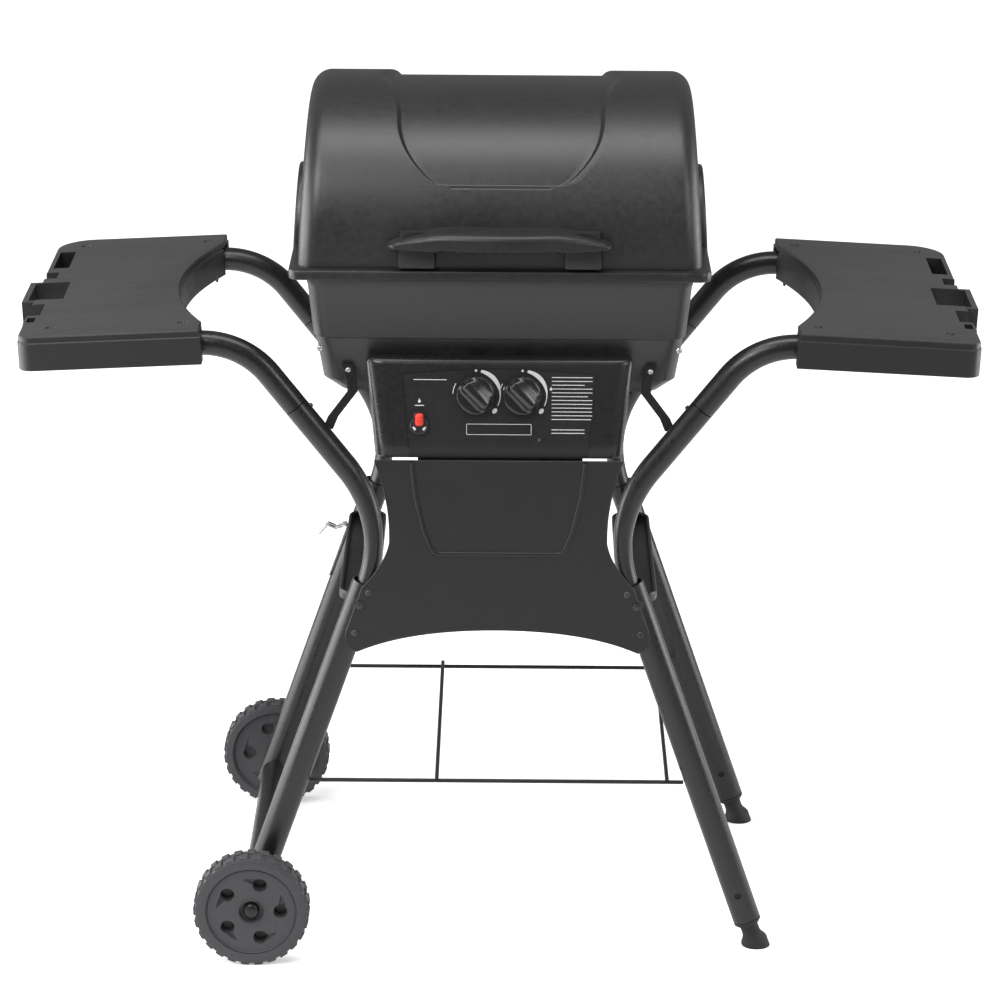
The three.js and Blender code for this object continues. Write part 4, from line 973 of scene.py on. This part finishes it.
def lid_form(inset, hem):
    """The barrel as a closed form down to its hem, each end rolled over in a quarter round."""
    roll = LID_ROLL - inset
    reach = LID_HALF_WIDTH - LID_ROLL
    rows = lid_rows()
    lines = [(column, 0) for column in zip(*[lid_columns(angle) for angle in rows])]
    quarter = [math.pi / 2 * i / 12 for i in range(13)]
    right = [([reach + roll * math.sin(turn)] * len(rows), roll * (1 - math.cos(turn))) for turn in quarter]
    left = [([-x for x in column], drop) for column, drop in reversed(right)]
    rings = []
    for column, drop in left + lines + right:
        edge = LID_HALF_DEPTH - inset - drop
        arch = [lid_point(x, angle, inset + drop + PANEL_DEPTH * panel_sink(x, angle))
                for x, angle in zip(column, rows)]
        rings.append([Vector((column[0], -edge, hem))] + arch + [Vector((column[-1], edge, hem))])
    return bridge(rings)


def flange_ring():
    """The rolled flange, with a soft outer edge."""
    outline = [(252, 205, 12, 943.4), (278.6, 228.6, 14.6, 943.4), (280, 230, 16, 945),
               (280, 230, 16, 953.6),
               (278.8, 228.8, 14.8, 956), (276, 226, 12.4, 957), (252, 205, 12, 957)]
    return bridge([rounded_ring(half_x, half_y, radius, z) for half_x, half_y, radius, z in outline],
                  closed=True)


def end_pad(side):
    """A half-oval pad with a soft rim, which leans in with the end wall."""
    steps, lean = 40, 0.055
    rings = []
    for x, drawn_in in ((258, 0), (277.5, 0), (280, 1.2), (281, 3.4), (281, 9), (279.6, 11)):
        half, height = 80 - drawn_in, 96 - drawn_in
        arc = [(half * math.cos(math.pi * i / steps), LID_BASE + height * math.sin(math.pi * i / steps))
               for i in range(steps + 1)]
        rings.append([Vector((x - lean * (z - 948), y, z)) for y, z in [(half, 948)] + arc + [(-half, 948)]])
    pad = bridge(rings)
    return on_side(pad, side)


def lid_ear(side):
    """The ear that turns on a hinge pin, and the boss inside that takes the warming rack's rear rod."""
    x0, x1 = 152.3, 163
    arm = bare_box((x0, 222, 943.8), (x1, 244, 955))
    barrel = swept([(x0, 244, 946), (x1, 244, 946)], 9.5, sides=32)
    ear = carved(arm, barrel, "UNION")
    boss = swept([(254, 130, 1052), (264, 130, 1052)], 8, sides=24)
    both = gathered(ear, boss)
    return on_side(both, side)


def lid_casting():
    outer = lid_form(0, LID_BASE - LID_LIP)
    shell = carved(outer, lid_form(LID_WALL, LID_BASE - 40))
    shell = carved(shell, flange_ring(), "UNION")
    for side in (-1, 1):
        shell = carved(shell, end_pad(side), "UNION")
        shell = carved(shell, lid_ear(side), "UNION")
    shell = carved(shell, swept([(-260, 130, 1052), (260, 130, 1052)], 2.9, sides=16))
    for side in (-1, 1):
        shell = carved(shell, swept([(side * 122, 244, 946), (side * 182, 244, 946)], 4.4, sides=20))
    return shell


piece("barrel_lid", lid_casting(), CAST_PAINT, ["lid"], body="lid", crease=30)

hinge_pin = lathe([(0, 0), (6, 0), (7, 1), (7, 3), (4, 3), (4, 30.4), (3.4, 31), (0, 31)], 32)
for side_name, side in SIDES.items():
    pin_at = stood(hinge_pin, (side * 167.5, 244, 946), (-side, 0, 0))
    piece(f"{side_name}_hinge_bolt", pin_at, ZINC, [f"hinge_pin_{side_name}"])


# ---------------------------------------------------------------- warming rack
# A small shelf of plated rods. Its rear rod turns in the lid's bosses, and its two eyes hang on a
# bent rod, the swing leg, so that the shelf keeps level while the lid opens.

CHROME = coating("chromed_rod", (0.60, 0.60, 0.60), (0.5, 0.49, 0.47), (0.66, 0.62, 0.55), (0.12, 0.3),
                 (300, 1400, 0.3, 0.02), metallic=1.0, wear=(0.0006, 0.4), dust=0.15)


def shelf():
    rods = moved(rod_grid(232, 97, 0, 2.2, 24), Matrix.Translation((0, 33, 1052)))
    rear_rod = swept([(-259, 130, 1052), (259, 130, 1052)], 2.5, sides=16)
    front_rod = swept([(-228, -20, 1051), (228, -20, 1051)], 2.2, sides=14)
    eyes = []
    for x in (-150, 150):
        circle = [(x, -20 + 4.6 * math.cos(turn), 1036 + 4.6 * math.sin(turn))
                  for turn in (math.pi / 2 + 2 * math.pi * i / 28 for i in range(28))]
        eyes.append(swept([(x, -20, 1050)] + circle, 1.5, sides=10, square=(1, 0, 0)))
    return gathered(rods, rear_rod, front_rod, *eyes)


piece("wire_shelf", shelf(), CHROME, ["warming_rack"], body="warming_rack")
swing = [(-255, 94, 930), (-245, 94, 930), (-245, -20, 1036), (245, -20, 1036), (245, 94, 930),
         (255, 94, 930)]
piece("shelf_swing_rod", swept(bent_path(swing, 4, 6), 2.5, sides=16, square=(0, 0, 1)), CHROME,
      ["rack_swing_leg"], body="rack_swing_leg", edge=0.4)


# ---------------------------------------------------------------- lid handle
# A moulded black plastic visor with a rolled front, hollow underneath, with finger grooves along
# its lower edge. Two broad feet carry it, screwed on from inside the lid.

HANDLE_PLASTIC = coating("handle_plastic", (0.010, 0.010, 0.0105), (0.014, 0.014, 0.0145),
                         (0.05, 0.05, 0.05),
                         (0.34, 0.44), (420, 1500, 0.55, 0.10), wear=(0.0008, 0.2), dust=0.02)
HANDLE_TOP, HANDLE_LOW = 1014, 989
HANDLE_HALF = 149


def handle_front(x):
    """How far out the visor's front edge is: bowed, with round corners."""
    straight = 133
    if abs(x) <= straight:
        share = (x + straight) / (2 * straight)
        return -245 - 80 * share * (1 - share)
    corner = HANDLE_HALF - straight
    return corner - 245 - corner * math.sqrt(max(1 - ((abs(x) - straight) / corner) ** 2, 0))


def handle_rear(x):
    return -215.2 - max(abs(x) - 100, 0) * 0.19


def handle_top(x):
    """The visor's top droops towards both of its ends."""
    return HANDLE_TOP - 19 * max((abs(x) - 60) / (HANDLE_HALF - 60), 0) ** 2


def visor():
    """Sections from one end to the other: solid at the very ends, and hooked between them."""
    wall, rounding = 4.5, 10
    grooves, pitch = 12, 13.75
    half = grooves * pitch / 2
    xs = [-HANDLE_HALF, -HANDLE_HALF + 0.6, -HANDLE_HALF + 2, -HANDLE_HALF + wall,
          -HANDLE_HALF + wall + 0.01]
    xs += [i - 144 for i in range(289)]
    xs += [-x for x in reversed(xs[:5])]
    rings = []
    for x in xs:
        front, rear, top = handle_front(x), handle_rear(x), handle_top(x)
        hollow = abs(x) < HANDLE_HALF - wall
        scallop = 0
        if abs(x) < half:
            scallop = 2.6 * math.sqrt(max(1 - (((x + half) % pitch) * 2 / pitch - 1) ** 2, 0))
        low = HANDLE_LOW + scallop
        reach = max(min(rounding, (rear - front) / 2 - 0.5, (top - low) / 2), 0.5)
        nose = [(front + reach * (1 - math.cos(turn)), top - 1.2 - reach * (1 - math.sin(turn)))
                for turn in (math.pi / 2 * i / 8 for i in range(9))]
        under = front + wall
        inner = max(top - wall - 1, low + 0.9) if hollow else low
        back = max(rear, under + 0.2)
        section = [(back, top)] + nose[::-1] + [(front, low + 1.5), (front + 1.2, low)]
        section += [(under - 0.8, low), (under, low + 0.8 if hollow else low), (under, inner), (back, inner)]
        rings.append([Vector((x, y, z)) for y, z in section])
    return bridge(rings)


def handle_foot(side):
    """A broad foot that flares onto the lid."""
    rings = []
    for z, grow in ((962, 0), (963.5, 1.2), (975, 1.2), (990, -1), (1010, -2)):
        front, rear = -235 - min(grow, 0) * 0.5, -218.6 if z < 985 else -217
        half = 24 + grow
        outline = [(-half, rear), (-half, front + 5), (-half + 1.5, front + 1.5), (-half + 5, front),
                   (half - 5, front), (half - 1.5, front + 1.5), (half, front + 5), (half, rear)]
        rings.append([Vector((side * 110 + x, y, z)) for x, y in outline])
    return bridge(rings)


piece("handle_visor", gathered(visor(), handle_foot(-1), handle_foot(1)), HANDLE_PLASTIC,
      ["lid_handle"], body="lid", crease=34)


# ---------------------------------------------------------------- control console
# Pressed steel sheet, bent at a crease and painted satin black. Its sloping face carries a printed
# label sheet with plain scales and rules, and a bracket behind its lower edge holds the skirt.

CONSOLE_BOTTOM, CONSOLE_CREASE, CONSOLE_TOP = 705, 722, 836
CONSOLE_BACK = -203
CONSOLE_SHEET = 2.5
PANEL_SINK = 1.3
CONSOLE_PAINT = coating("console_paint", (0.007, 0.007, 0.0073), (0.010, 0.010, 0.0105), (0.05, 0.05, 0.05),
                        (0.26, 0.34), (260, 1100, 0.3, 0.05), wear=(0.0006, 0.15), dust=0.02, gloss=0.45)


def console_lean(z):
    """How far back the face is at a height: upright below the crease, and bent over it in a soft curve."""
    bend, above = 6, z - CONSOLE_CREASE
    if abs(above) < bend:
        return math.tan(FACE_LEAN) * (above + bend) ** 2 / (4 * bend)
    return math.tan(FACE_LEAN) * max(above, 0)


def console_ring(z, inset):
    """The console's outline at a height. Its back edge stays where it is."""
    rise = (z - CONSOLE_BOTTOM) / (CONSOLE_TOP - CONSOLE_BOTTOM)
    half = 165.5 + 12.5 * rise - inset
    front, radius = -245 + inset, 24 - inset
    upright = [(-half, CONSOLE_BACK)]
    for sign, start in ((-1, math.pi), (1, math.pi * 1.5)):
        upright += [(sign * (half - radius) + radius * math.cos(turn),
                     front + radius + radius * math.sin(turn))
                    for turn in (start + math.pi / 2 * i / 12 for i in range(13))]
    upright.append((half, CONSOLE_BACK))
    return [Vector((x, y + console_lean(z) * (CONSOLE_BACK - y) / (CONSOLE_BACK - front), z)) for x,
            y in upright]


def panel_form(drawn_in, into, out):
    """The form of the sunk label panel: it follows the face over its crease, and is arched at its top."""
    columns, rows = 32, 24
    low = 707 + drawn_in
    rings = []
    for i in range(columns + 1):
        share = 2 * i / columns - 1
        top = 817.5 + 6.4 * math.cos(math.pi / 2 * share) - drawn_in
        heights = [low + (top - low) * j / rows for j in range(rows + 1)]
        line = [(share * (119.5 + 10.5 * (z - 707) / 110 - drawn_in), -245 + console_lean(z),
                 z) for z in heights]
        rings.append([Vector((x, y + into, z)) for x, y, z in line]
                     + [Vector((x, y - out, z)) for x, y, z in reversed(line)])
    return bridge(rings)


def stem_holes(shell):
    for x in (-KNOB_X, KNOB_X):
        shell = carved(shell, on_face(lathe([(0, -30), (7, -30), (7, 30), (0, 30)], 28), x=x))
    window = [rounded_ring(7.3, 10.3, 4, z) for z in (-30, 30)]
    return carved(shell, on_face(bridge(window), x=-106, y=-33))


def console_shell():
    outer = [(705, 0.8), (705.8, 0), (716, 0), (718, 0), (720, 0), (722, 0), (724, 0), (726, 0), (728, 0),
             (770, 0),
             (828, 0), (831, 0.5), (833.4, 1.7), (835, 3.6), (835.8, 6), (836, 9)]
    shell = bridge([console_ring(z, inset) for z, inset in outer])
    hollow = []
    for z in (695, 716, 720, 724, 728, CONSOLE_TOP - CONSOLE_SHEET):
        ring = console_ring(z, CONSOLE_SHEET)
        for end in (ring[0], ring[-1]):
            end.y += 20
        hollow.append(ring)
    shell = carved(carved(shell, bridge(hollow)), panel_form(0, PANEL_SINK, 6))
    return stem_holes(shell)


bracket = bare_box((-108, -242.5, 692), (112, -241, 716))
piece("console_housing", gathered(console_shell(), bracket), CONSOLE_PAINT,
      ["control_console"],
      crease=30)


def filled(outline, low, high):
    """A flat sheet from its outline."""
    return bridge([[Vector((x, y, z)) for x, y in outline] for z in (low, high)])


LABEL_INK = coating("label_black", (0.009, 0.009, 0.0095), (0.012, 0.012, 0.0125), (0.04, 0.04, 0.04),
                    (0.34, 0.42),
                    (500, 1800, 0.4, 0.03), wear=(0.0005, 0.1), dust=0.01)
PALE_GREY_MARKS = coating("pale_grey_marks", (0.56, 0.57, 0.58), (0.48, 0.49, 0.50), (0.6, 0.6, 0.6), (0.4, 0.55),
                    (600, 2000, 0.5, 0.02), wear=(0.0004, 0.1), dust=0.01)
piece("console_label", stem_holes(panel_form(1.6, PANEL_SINK + 0.1, -PANEL_SINK + 0.3)), LABEL_INK)


def printed(outline, x=0, y=0):
    return on_face(filled(outline, -1.2, -0.75), x, y)


def ruled(width, thick):
    return [(-width / 2, -thick / 2), (width / 2, -thick / 2), (width / 2, thick / 2),
            (-width / 2, thick / 2)]


def round_spot(radius, sides=20):
    return [(radius * math.cos(2 * math.pi * i / sides), radius * math.sin(2 * math.pi * i / sides))
            for i in range(sides)]


def arc_band(start, stop, radius, thickness, steps=24):
    """A band round a knob from one angle to another, in degrees; thickness(share) is its width."""
    outer, inner = [], []
    for i in range(steps + 1):
        share = i / steps
        turn = math.radians(start + (stop - start) * share)
        width = thickness(share)
        outer.append(((radius + width / 2) * math.cos(turn), (radius + width / 2) * math.sin(turn)))
        inner.append(((radius - width / 2) * math.cos(turn), (radius - width / 2) * math.sin(turn)))
    return outer + inner[::-1]


def drop_shape(height):
    """A pointed drop."""
    radius = height * 0.32
    arc = [(radius * math.cos(turn), radius * math.sin(turn) - height * 0.18)
           for turn in (math.radians(160 + 220 * i / 16) for i in range(17))]
    return arc + [(0, height * 0.5)]


def knob_scale(x):
    """High at the top, falling to low round the right-hand side, with an off mark on the left."""
    marks = [printed(round_spot(1.6), x, 32.5),
             printed(arc_band(78, -26, 32.5,
                              lambda share: 1.2 + 4.6 * math.sin(math.pi * min(0.2 + share, 1)) ** 1.5),
                     x),
             printed(drop_shape(5.2), x + 38, 9),
             printed(arc_band(150, 177, 30.5, lambda share: 1.1), x)]
    pill = arc_band(-33, -47, 33, lambda share: 5.6 * math.sqrt(max(1 - (2 * share - 1) ** 2, 0.05)))
    return marks + [printed(pill, x)]


def text_rules():
    """Plain rules of uneven length, where instructions would be printed, and an empty outline."""
    chance = random.Random(7)
    shells = []
    for row in range(12):
        length = 54 - 16 * chance.random() * (row % 3 == 2)
        shells.append(printed(ruled(length, 1.0), 70 + length / 2, 24 - 5.1 * row))
    for y in (-46, -50.5):
        shells.append(printed(ruled(44, 1.0), 92, y))
    shells.append(printed(ruled(44, 0.9), -92, 20))
    half_x, half_y, line = 43, 7, 0.7
    for x, y, width, thick in ((0, half_y, 2 * half_x, line), (0, -half_y, 2 * half_x, line),
                               (half_x, 0, line, 2 * half_y - line), (-half_x, 0, line, 2 * half_y - line)):
        shells.append(printed(ruled(width, thick), x, y - 46))
    return shells


marks = knob_scale(-KNOB_X) + knob_scale(KNOB_X) + text_rules()
marks += [printed(drop_shape(6), -106, -8), printed(ruled(12, 1.2), -106, -14.5)]
piece("console_printing", gathered(*marks), PALE_GREY_MARKS)
label_screw = on_face(pan_screw(3, 1.8), x=54, y=-60, z=-1)
piece("console_label_screw", label_screw, BLACK_ZINC)


# ---------------------------------------------------------------- control knobs
# Two glossy black plastic knobs. Each is domed, with a broad grip that slopes away on one side and
# is scooped out on the other, and it is pressed onto the valve's steel stem.

KNOB_PLASTIC = coating("knob_plastic", (0.007, 0.007, 0.0075), (0.010, 0.010, 0.0105), (0.04, 0.04, 0.04),
                       (0.16, 0.24), (500, 1600, 0.3, 0.02), wear=(0.0006, 0.15), dust=0.01, gloss=0.5)


def knob_height(radius, angle):
    """The knob's face: a dome, with a grip from upper left to lower right that is scooped on one side."""
    across = radius * math.cos(angle - math.pi / 4)
    dome = 9.5 + 5.5 * math.sqrt(max(1 - (radius / 26) ** 2, 0))
    grip = eased(1 - across / 19) if across > 0 else eased(1 + across / 13)
    scoop = 2.4 * math.exp(-((across + 12) / 6) ** 2)
    ribs = 0.16 * math.sin(2 * math.pi * across / 2.4) if 8 < across < 19 else 0
    fade = 1 - eased((radius - 19) / 6.5)
    return dome + (6.4 * grip - scoop + ribs) * fade


def knob_shell():
    steps = 144
    angles = [2 * math.pi * i / steps for i in range(steps)]
    radii = [0.4, 1.5] + [0.75 * i for i in range(3, 34)]
    rings = [[Vector((r * math.cos(a), r * math.sin(a), knob_height(r, a))) for a in angles] for r in radii]
    for radius, height in ((25.5, 9.4), (25.9, 8.4), (26, 6.6), (25.8, 4), (25.2, 3.4), (3.5, 3.4),
                           (3.5, 14.9),
                           (0.4, 14.9)):
        rings.append([Vector((radius * math.cos(a), radius * math.sin(a), height)) for a in angles])
    return bridge(rings)


for side_name, side in SIDES.items():
    body = f"knob_{side_name}"
    piece(f"{side_name}_control_knob", on_face(knob_shell(), x=side * KNOB_X), KNOB_PLASTIC,
          [f"knob_{side_name}"], body=body, crease=50)
    stem = lathe([(0, -13), (3.1, -13), (3.1, -8.1), (5, -8.1), (5, -6.1), (3.1, -6.1), (3.1, 14),
                  (2.6, 14.6),
                  (0, 14.6)], 28)
    piece(f"{side_name}_knob_stem", on_face(stem, x=side * KNOB_X), ZINC,
          [f"valve_stem_{side_name}"], body=body)


# ---------------------------------------------------------------- igniter
# A red plastic push button with a ridge across its middle, in a round black bezel that clips into
# the console. Two short pale bands lie low on the bezel, in the same pale grey as the console's print.

BUTTON_RED = coating("button_red", (0.62, 0.045, 0.025), (0.56, 0.035, 0.02), (0.7, 0.12, 0.08), (0.2, 0.34),
                     (500, 1800, 0.4, 0.03), wear=(0.0008, 0.3), dust=0.02)


def igniter_bezel():
    disc = lathe([(0, 0.3), (12.8, 0.3), (12.8, 2), (12.2, 3), (11, 3.6), (9.5, 3.2), (0, 3.2)], 56)
    collar = moved(bridge([rounded_ring(7.9, 11, 4.5, 0.3), rounded_ring(7.9, 11, 4.5, 4),
                           rounded_ring(7.4, 10.5, 4, 4.6)]), Matrix.Translation((0, 8, 0)))
    sleeve = moved(bridge([rounded_ring(7, 10, 3.8, z) for z in (-22, 2)]), Matrix.Translation((0, 8, 0)))
    bore = moved(bridge([rounded_ring(5.9, 8.9, 3.2, z) for z in (-30, 30)]), Matrix.Translation((0, 8, 0)))
    whole = carved(carved(disc, collar, "UNION"), sleeve, "UNION")
    return on_face(carved(whole, bore), x=-106, y=-41)


piece("igniter_surround", igniter_bezel(), HANDLE_PLASTIC, ["igniter_bezel"])
# Two short pale bands on the lower part of the bezel, in the same pale grey as the console's print.
bands = [arc_band(start, start + 38, 7.7, lambda share: 3.0, steps=8) for start in (-50, 192)]
piece("igniter_bands", on_face(gathered(*[filled(band, 3.1, 3.35) for band in bands]), x=-106, y=-41),
      PALE_GREY_MARKS)


def button_shell():
    """The button's top is a shallow roof: its ridge lies across, and both halves slope away from it."""
    rings = [rounded_ring(5.5, 8.5, 3, z) for z in (-16, 6.5)]
    for inset, level in ((0.3, 7.4), (1.2, 8.4), (3, 9.4)):
        ring = rounded_ring(5.5 - inset, 8.5 - inset, 3 - inset * 0.5, 0)
        rings.append([Vector((p.x, p.y, level + 1.6 * (1 - abs(p.y) / 8.5))) for p in ring])
    return on_face(bridge(rings), x=-106, y=-33)


piece("igniter_push_button", button_shell(), BUTTON_RED, ["igniter_button"],
      body="igniter_button",
      crease=50)


# ---------------------------------------------------------------- skirt panel
# A pressed sheet between the front legs, drawn in at its waist and arched below, with a rolled edge
# and one embossed line. Two screws on each side hold it to the legs.

SKIRT_Y = -254.3
SKIRT_TOP = 703


def curve(start, control, stop, steps=14):
    """Points on a quadratic curve, without its start."""
    found = []
    for i in range(1, steps + 1):
        t = i / steps
        found.append(tuple((1 - t) ** 2 * a + 2 * t * (1 - t) * b + t ** 2 * c
                           for a, b, c in zip(start, control, stop)))
    return found


def skirt_outline():
    right = [(165, SKIRT_TOP)]
    right += curve(right[-1], (143, 645), (145, 588))
    right += curve(right[-1], (150, 558), (182, 524))
    right += [(203, 464)]
    right += curve(right[-1], (209, 444), (190, 434))
    right += curve(right[-1], (120, 466), (0, 466))
    return right + [(-x, z) for x, z in reversed(right[:-1])]


def skirt_sheet():
    outline = skirt_outline()
    rings = [[Vector((x, y, z)) for x, z in outline] for y in (SKIRT_Y + 0.4, -252.3)]
    sheet = bridge(rings)
    hem_radius = 1.4
    hem = swept([(x, SKIRT_Y + hem_radius, z) for x,
                 z in outline] + [(outline[0][0], SKIRT_Y + hem_radius, SKIRT_TOP)],
                hem_radius, sides=12)
    return gathered(sheet, hem)


def embossed_line():
    """A raised line: down both sides, drawing in, and across the bottom with round corners."""
    side = [(116, SKIRT_TOP - 2), (111, 655), (100, 606), (86.6, 573), (0, 573)]
    corners = [(x, SKIRT_Y + 0.5, z) for x, z in side] + [(-x, SKIRT_Y + 0.5, z) for x,
                                                          z in reversed(side[:-1])]
    return swept(bent_path(corners, 14, 8), 3.2, sides=16, drawn=lambda point: (1, 0.75))


piece("skirt_sheet", gathered(skirt_sheet(), embossed_line()), SHEET_PAINT, ["skirt_panel"])
skirt_screws = [stood(pan_screw(5, 2.6), (x * side, SKIRT_Y + 0.3, z), (0, -1, 0))
                for x, z in ((174, 517), (193, 460)) for side in (-1, 1)]
piece("skirt_screws", gathered(*skirt_screws), BLACK_ZINC)


# ---------------------------------------------------------------- grease cup
# A small tinned cup under the firebox's drain hole, held by its rim in a sprung wire ring that
# hangs from the firebox's floor.

cup = lathe([(0, 692), (28.6, 692), (30, 693.4), (33, 717), (33.8, 718.4), (33.6, 720), (36.5, 748),
             (39.6, 748),
             (40.4, 748.7), (39.6, 749.5), (35.5, 749.5), (32.4, 720.4), (31.8, 717.6), (29, 694.6), (28,
                                                                                                      693.2),
             (0, 693.2)], 64)
piece("drip_cup", cup, ZINC, ["grease_cup"])


def cup_ring():
    wire, radius, z = 1.6, 38.6, 746.1
    circle = [(radius * math.cos(2 * math.pi * i / 56), radius * math.sin(2 * math.pi * i / 56),
               z) for i in range(57)]
    hangers = [swept(bent_path([(0, way * radius, z), (0, way * (radius + 5), z),
                                (0, way * (radius + 5), 774.7)], 2, 5),
                     wire, sides=14, square=(1, 0, 0)) for way in (-1, 1)]
    return gathered(swept(circle, wire, sides=14, square=(0, 0, 1)), *hangers)


piece("cup_wire_ring", cup_ring(), ZINC, ["grease_cup_clip"])


# ---------------------------------------------------------------- side tables
# Moulded grey plastic tables on the ends of the arm tubes: a grained top with a soft edge, a stepped
# fascia in painted shade, tool recesses, a hook loop and small round recesses over the screws.

TABLE_INNER, TABLE_TOP = 394, 886
TABLE_WIDTH, TABLE_HALF_DEPTH, TABLE_HEIGHT = 243, 274, 47
TABLE_WALL = 3


def table_plastic():
    """Grained grey moulding, with long faint marks across its top, and painted shade: every face that does
    not face up, the fascia among them, is painted near black.
    """
    made = coating("table_plastic", (0.030, 0.0305, 0.031), (0.038, 0.0385, 0.039), (0.09, 0.09, 0.09),
                   (0.40, 0.50),
                   (520, 1700, 0.6, 0.08), wear=(0.0010, 0.3), mottle=3.0, dust=0.02)
    tree = made.node_tree
    shader = tree.nodes["Principled BSDF"]
    body = shader.inputs["Base Color"].links[0].from_socket
    stretch = {0: own_place(tree), 1: (5.0, 420.0, 5.0)}
    drawn = add_node(tree, "ShaderNodeVectorMath", stretch, operation="MULTIPLY").outputs[0]
    lighter = ranged(tree, noise(tree, drawn, 1.0, 2.0), 0.45, 0.75, to_max=0.14)
    top = ranged(tree, facing_up(tree), 0.55, 0.9)
    streaked = mixed(tree, times(tree, lighter, top), body, (0.11, 0.11, 0.11, 1))
    # Painted shade: every face that does not face up, the fascia among them, is painted near black in place
    # of the grey.
    fascia = mixed(tree, top, (0.011, 0.0113, 0.012, 1), streaked)
    tree.links.new(fascia, shader.inputs["Base Color"])
    return made


TABLE_PLASTIC = table_plastic()


def table_outline(inset, z):
    """Seen from above, for the right-hand side: x from the inner edge outwards."""
    depth, width = TABLE_HALF_DEPTH - inset, TABLE_WIDTH - inset
    hollow_end = 220 + inset
    front, rear = 20 - inset, 52 - inset
    line = [(inset, -depth)]
    line += [(width - front + front * math.cos(turn), -depth + front + front * math.sin(turn))
             for turn in (math.pi / 2 * (i / 10 - 1) for i in range(11))]
    line += [(width - rear + rear * math.cos(turn), depth - rear + rear * math.sin(turn))
             for turn in (math.pi / 2 * i / 16 for i in range(17))]
    line += [(inset, depth), (inset, hollow_end)]
    line += curve((inset, hollow_end), (90 + inset, 0), (inset, -hollow_end), steps=48)
    return [Vector((x, y, z)) for x, y in line]


def table_shell():
    """The moulding with its top at 0: the stepped fascia, the hollow underneath and what is cut into it."""
    fascia = [(0.8, -TABLE_HEIGHT), (0, -46.2), (0, -10.4), (0.6, -9.4), (1.6, -9), (1.6, -3.2), (2.0, -1.6),
              (3.0, -0.5), (4.6, 0)]
    body = bridge([table_outline(inset, z) for inset, z in fascia])
    body = carved(body, bridge([table_outline(TABLE_WALL, z) for z in (-TABLE_HEIGHT - 10, -TABLE_WALL)]))
    added = [bare_box((TABLE_WIDTH - 48, -82, 6 - TABLE_HEIGHT), (257, 28, -1)),
             bare_box((TABLE_WIDTH - 34, 100, 14 - TABLE_HEIGHT), (TABLE_WIDTH - 6, 200, -1)),
             bare_box((TABLE_WIDTH - 20, -200, 6 - TABLE_HEIGHT), (TABLE_WIDTH - 1, -168, -1.2))]
    added += [bare_box((TABLE_WIDTH - 23, low, 8 - TABLE_HEIGHT), (TABLE_WIDTH - 2, high, -0.6))
              for low, high in ((-163, -97), (41, 81))]
    for block in added:
        body = carved(body, block, "UNION")
    taken = [bare_box((TABLE_WIDTH - 42, -74, -60), (249, 20, 10)),
             bare_box((TABLE_WIDTH - 31, 103, 17 - TABLE_HEIGHT), (TABLE_WIDTH - 9, 197, 10)),
             bare_box((TABLE_WIDTH - 16, -196, -60), (TABLE_WIDTH - 5, -172, 10))]
    taken += [bare_box((TABLE_WIDTH - 20, low, -60), (TABLE_WIDTH + 30, high, 10)) for low,
              high in ((-160, -100), (44, 78))]
    taken += [bare_box((-20, way * FRAME_PLANE - 18.5, -60),
                       (30, way * FRAME_PLANE + 18.5, -7)) for way in (-1, 1)]
    taken += [moved(lathe([(0, -1.4), (6.4, -1.4), (7.5, 0.4), (7.5, 4), (0, 4)], 32),
                    Matrix.Translation((x, y, 0)))
              for x in (26, 201) for y in (-230, 230)]
    for tool in taken:
        body = carved(body, tool)
    return body


def table_prongs():
    """Three little clips under the rear arm's way in."""
    return gathered(*[moved(bridge([rounded_ring(2.4, 4, 1.5, -40), rounded_ring(2.2, 3.6, 1.4, -52),
                                    rounded_ring(1.4, 2.6, 1, -56)]), Matrix.Translation((x, 212, 0)))
                      for x in (15, 26, 36)])


tilt = Matrix.Translation((TABLE_INNER, 0, TABLE_TOP)) @ Matrix.Rotation(TABLE_DROOP, 4, "Y")
right_table = moved(gathered(table_shell(), table_prongs()), tilt)
for side_name, side in SIDES.items():
    piece(f"{side_name}_table_top", on_side(right_table, side), TABLE_PLASTIC,
          [f"side_table_{side_name}"], crease=30)
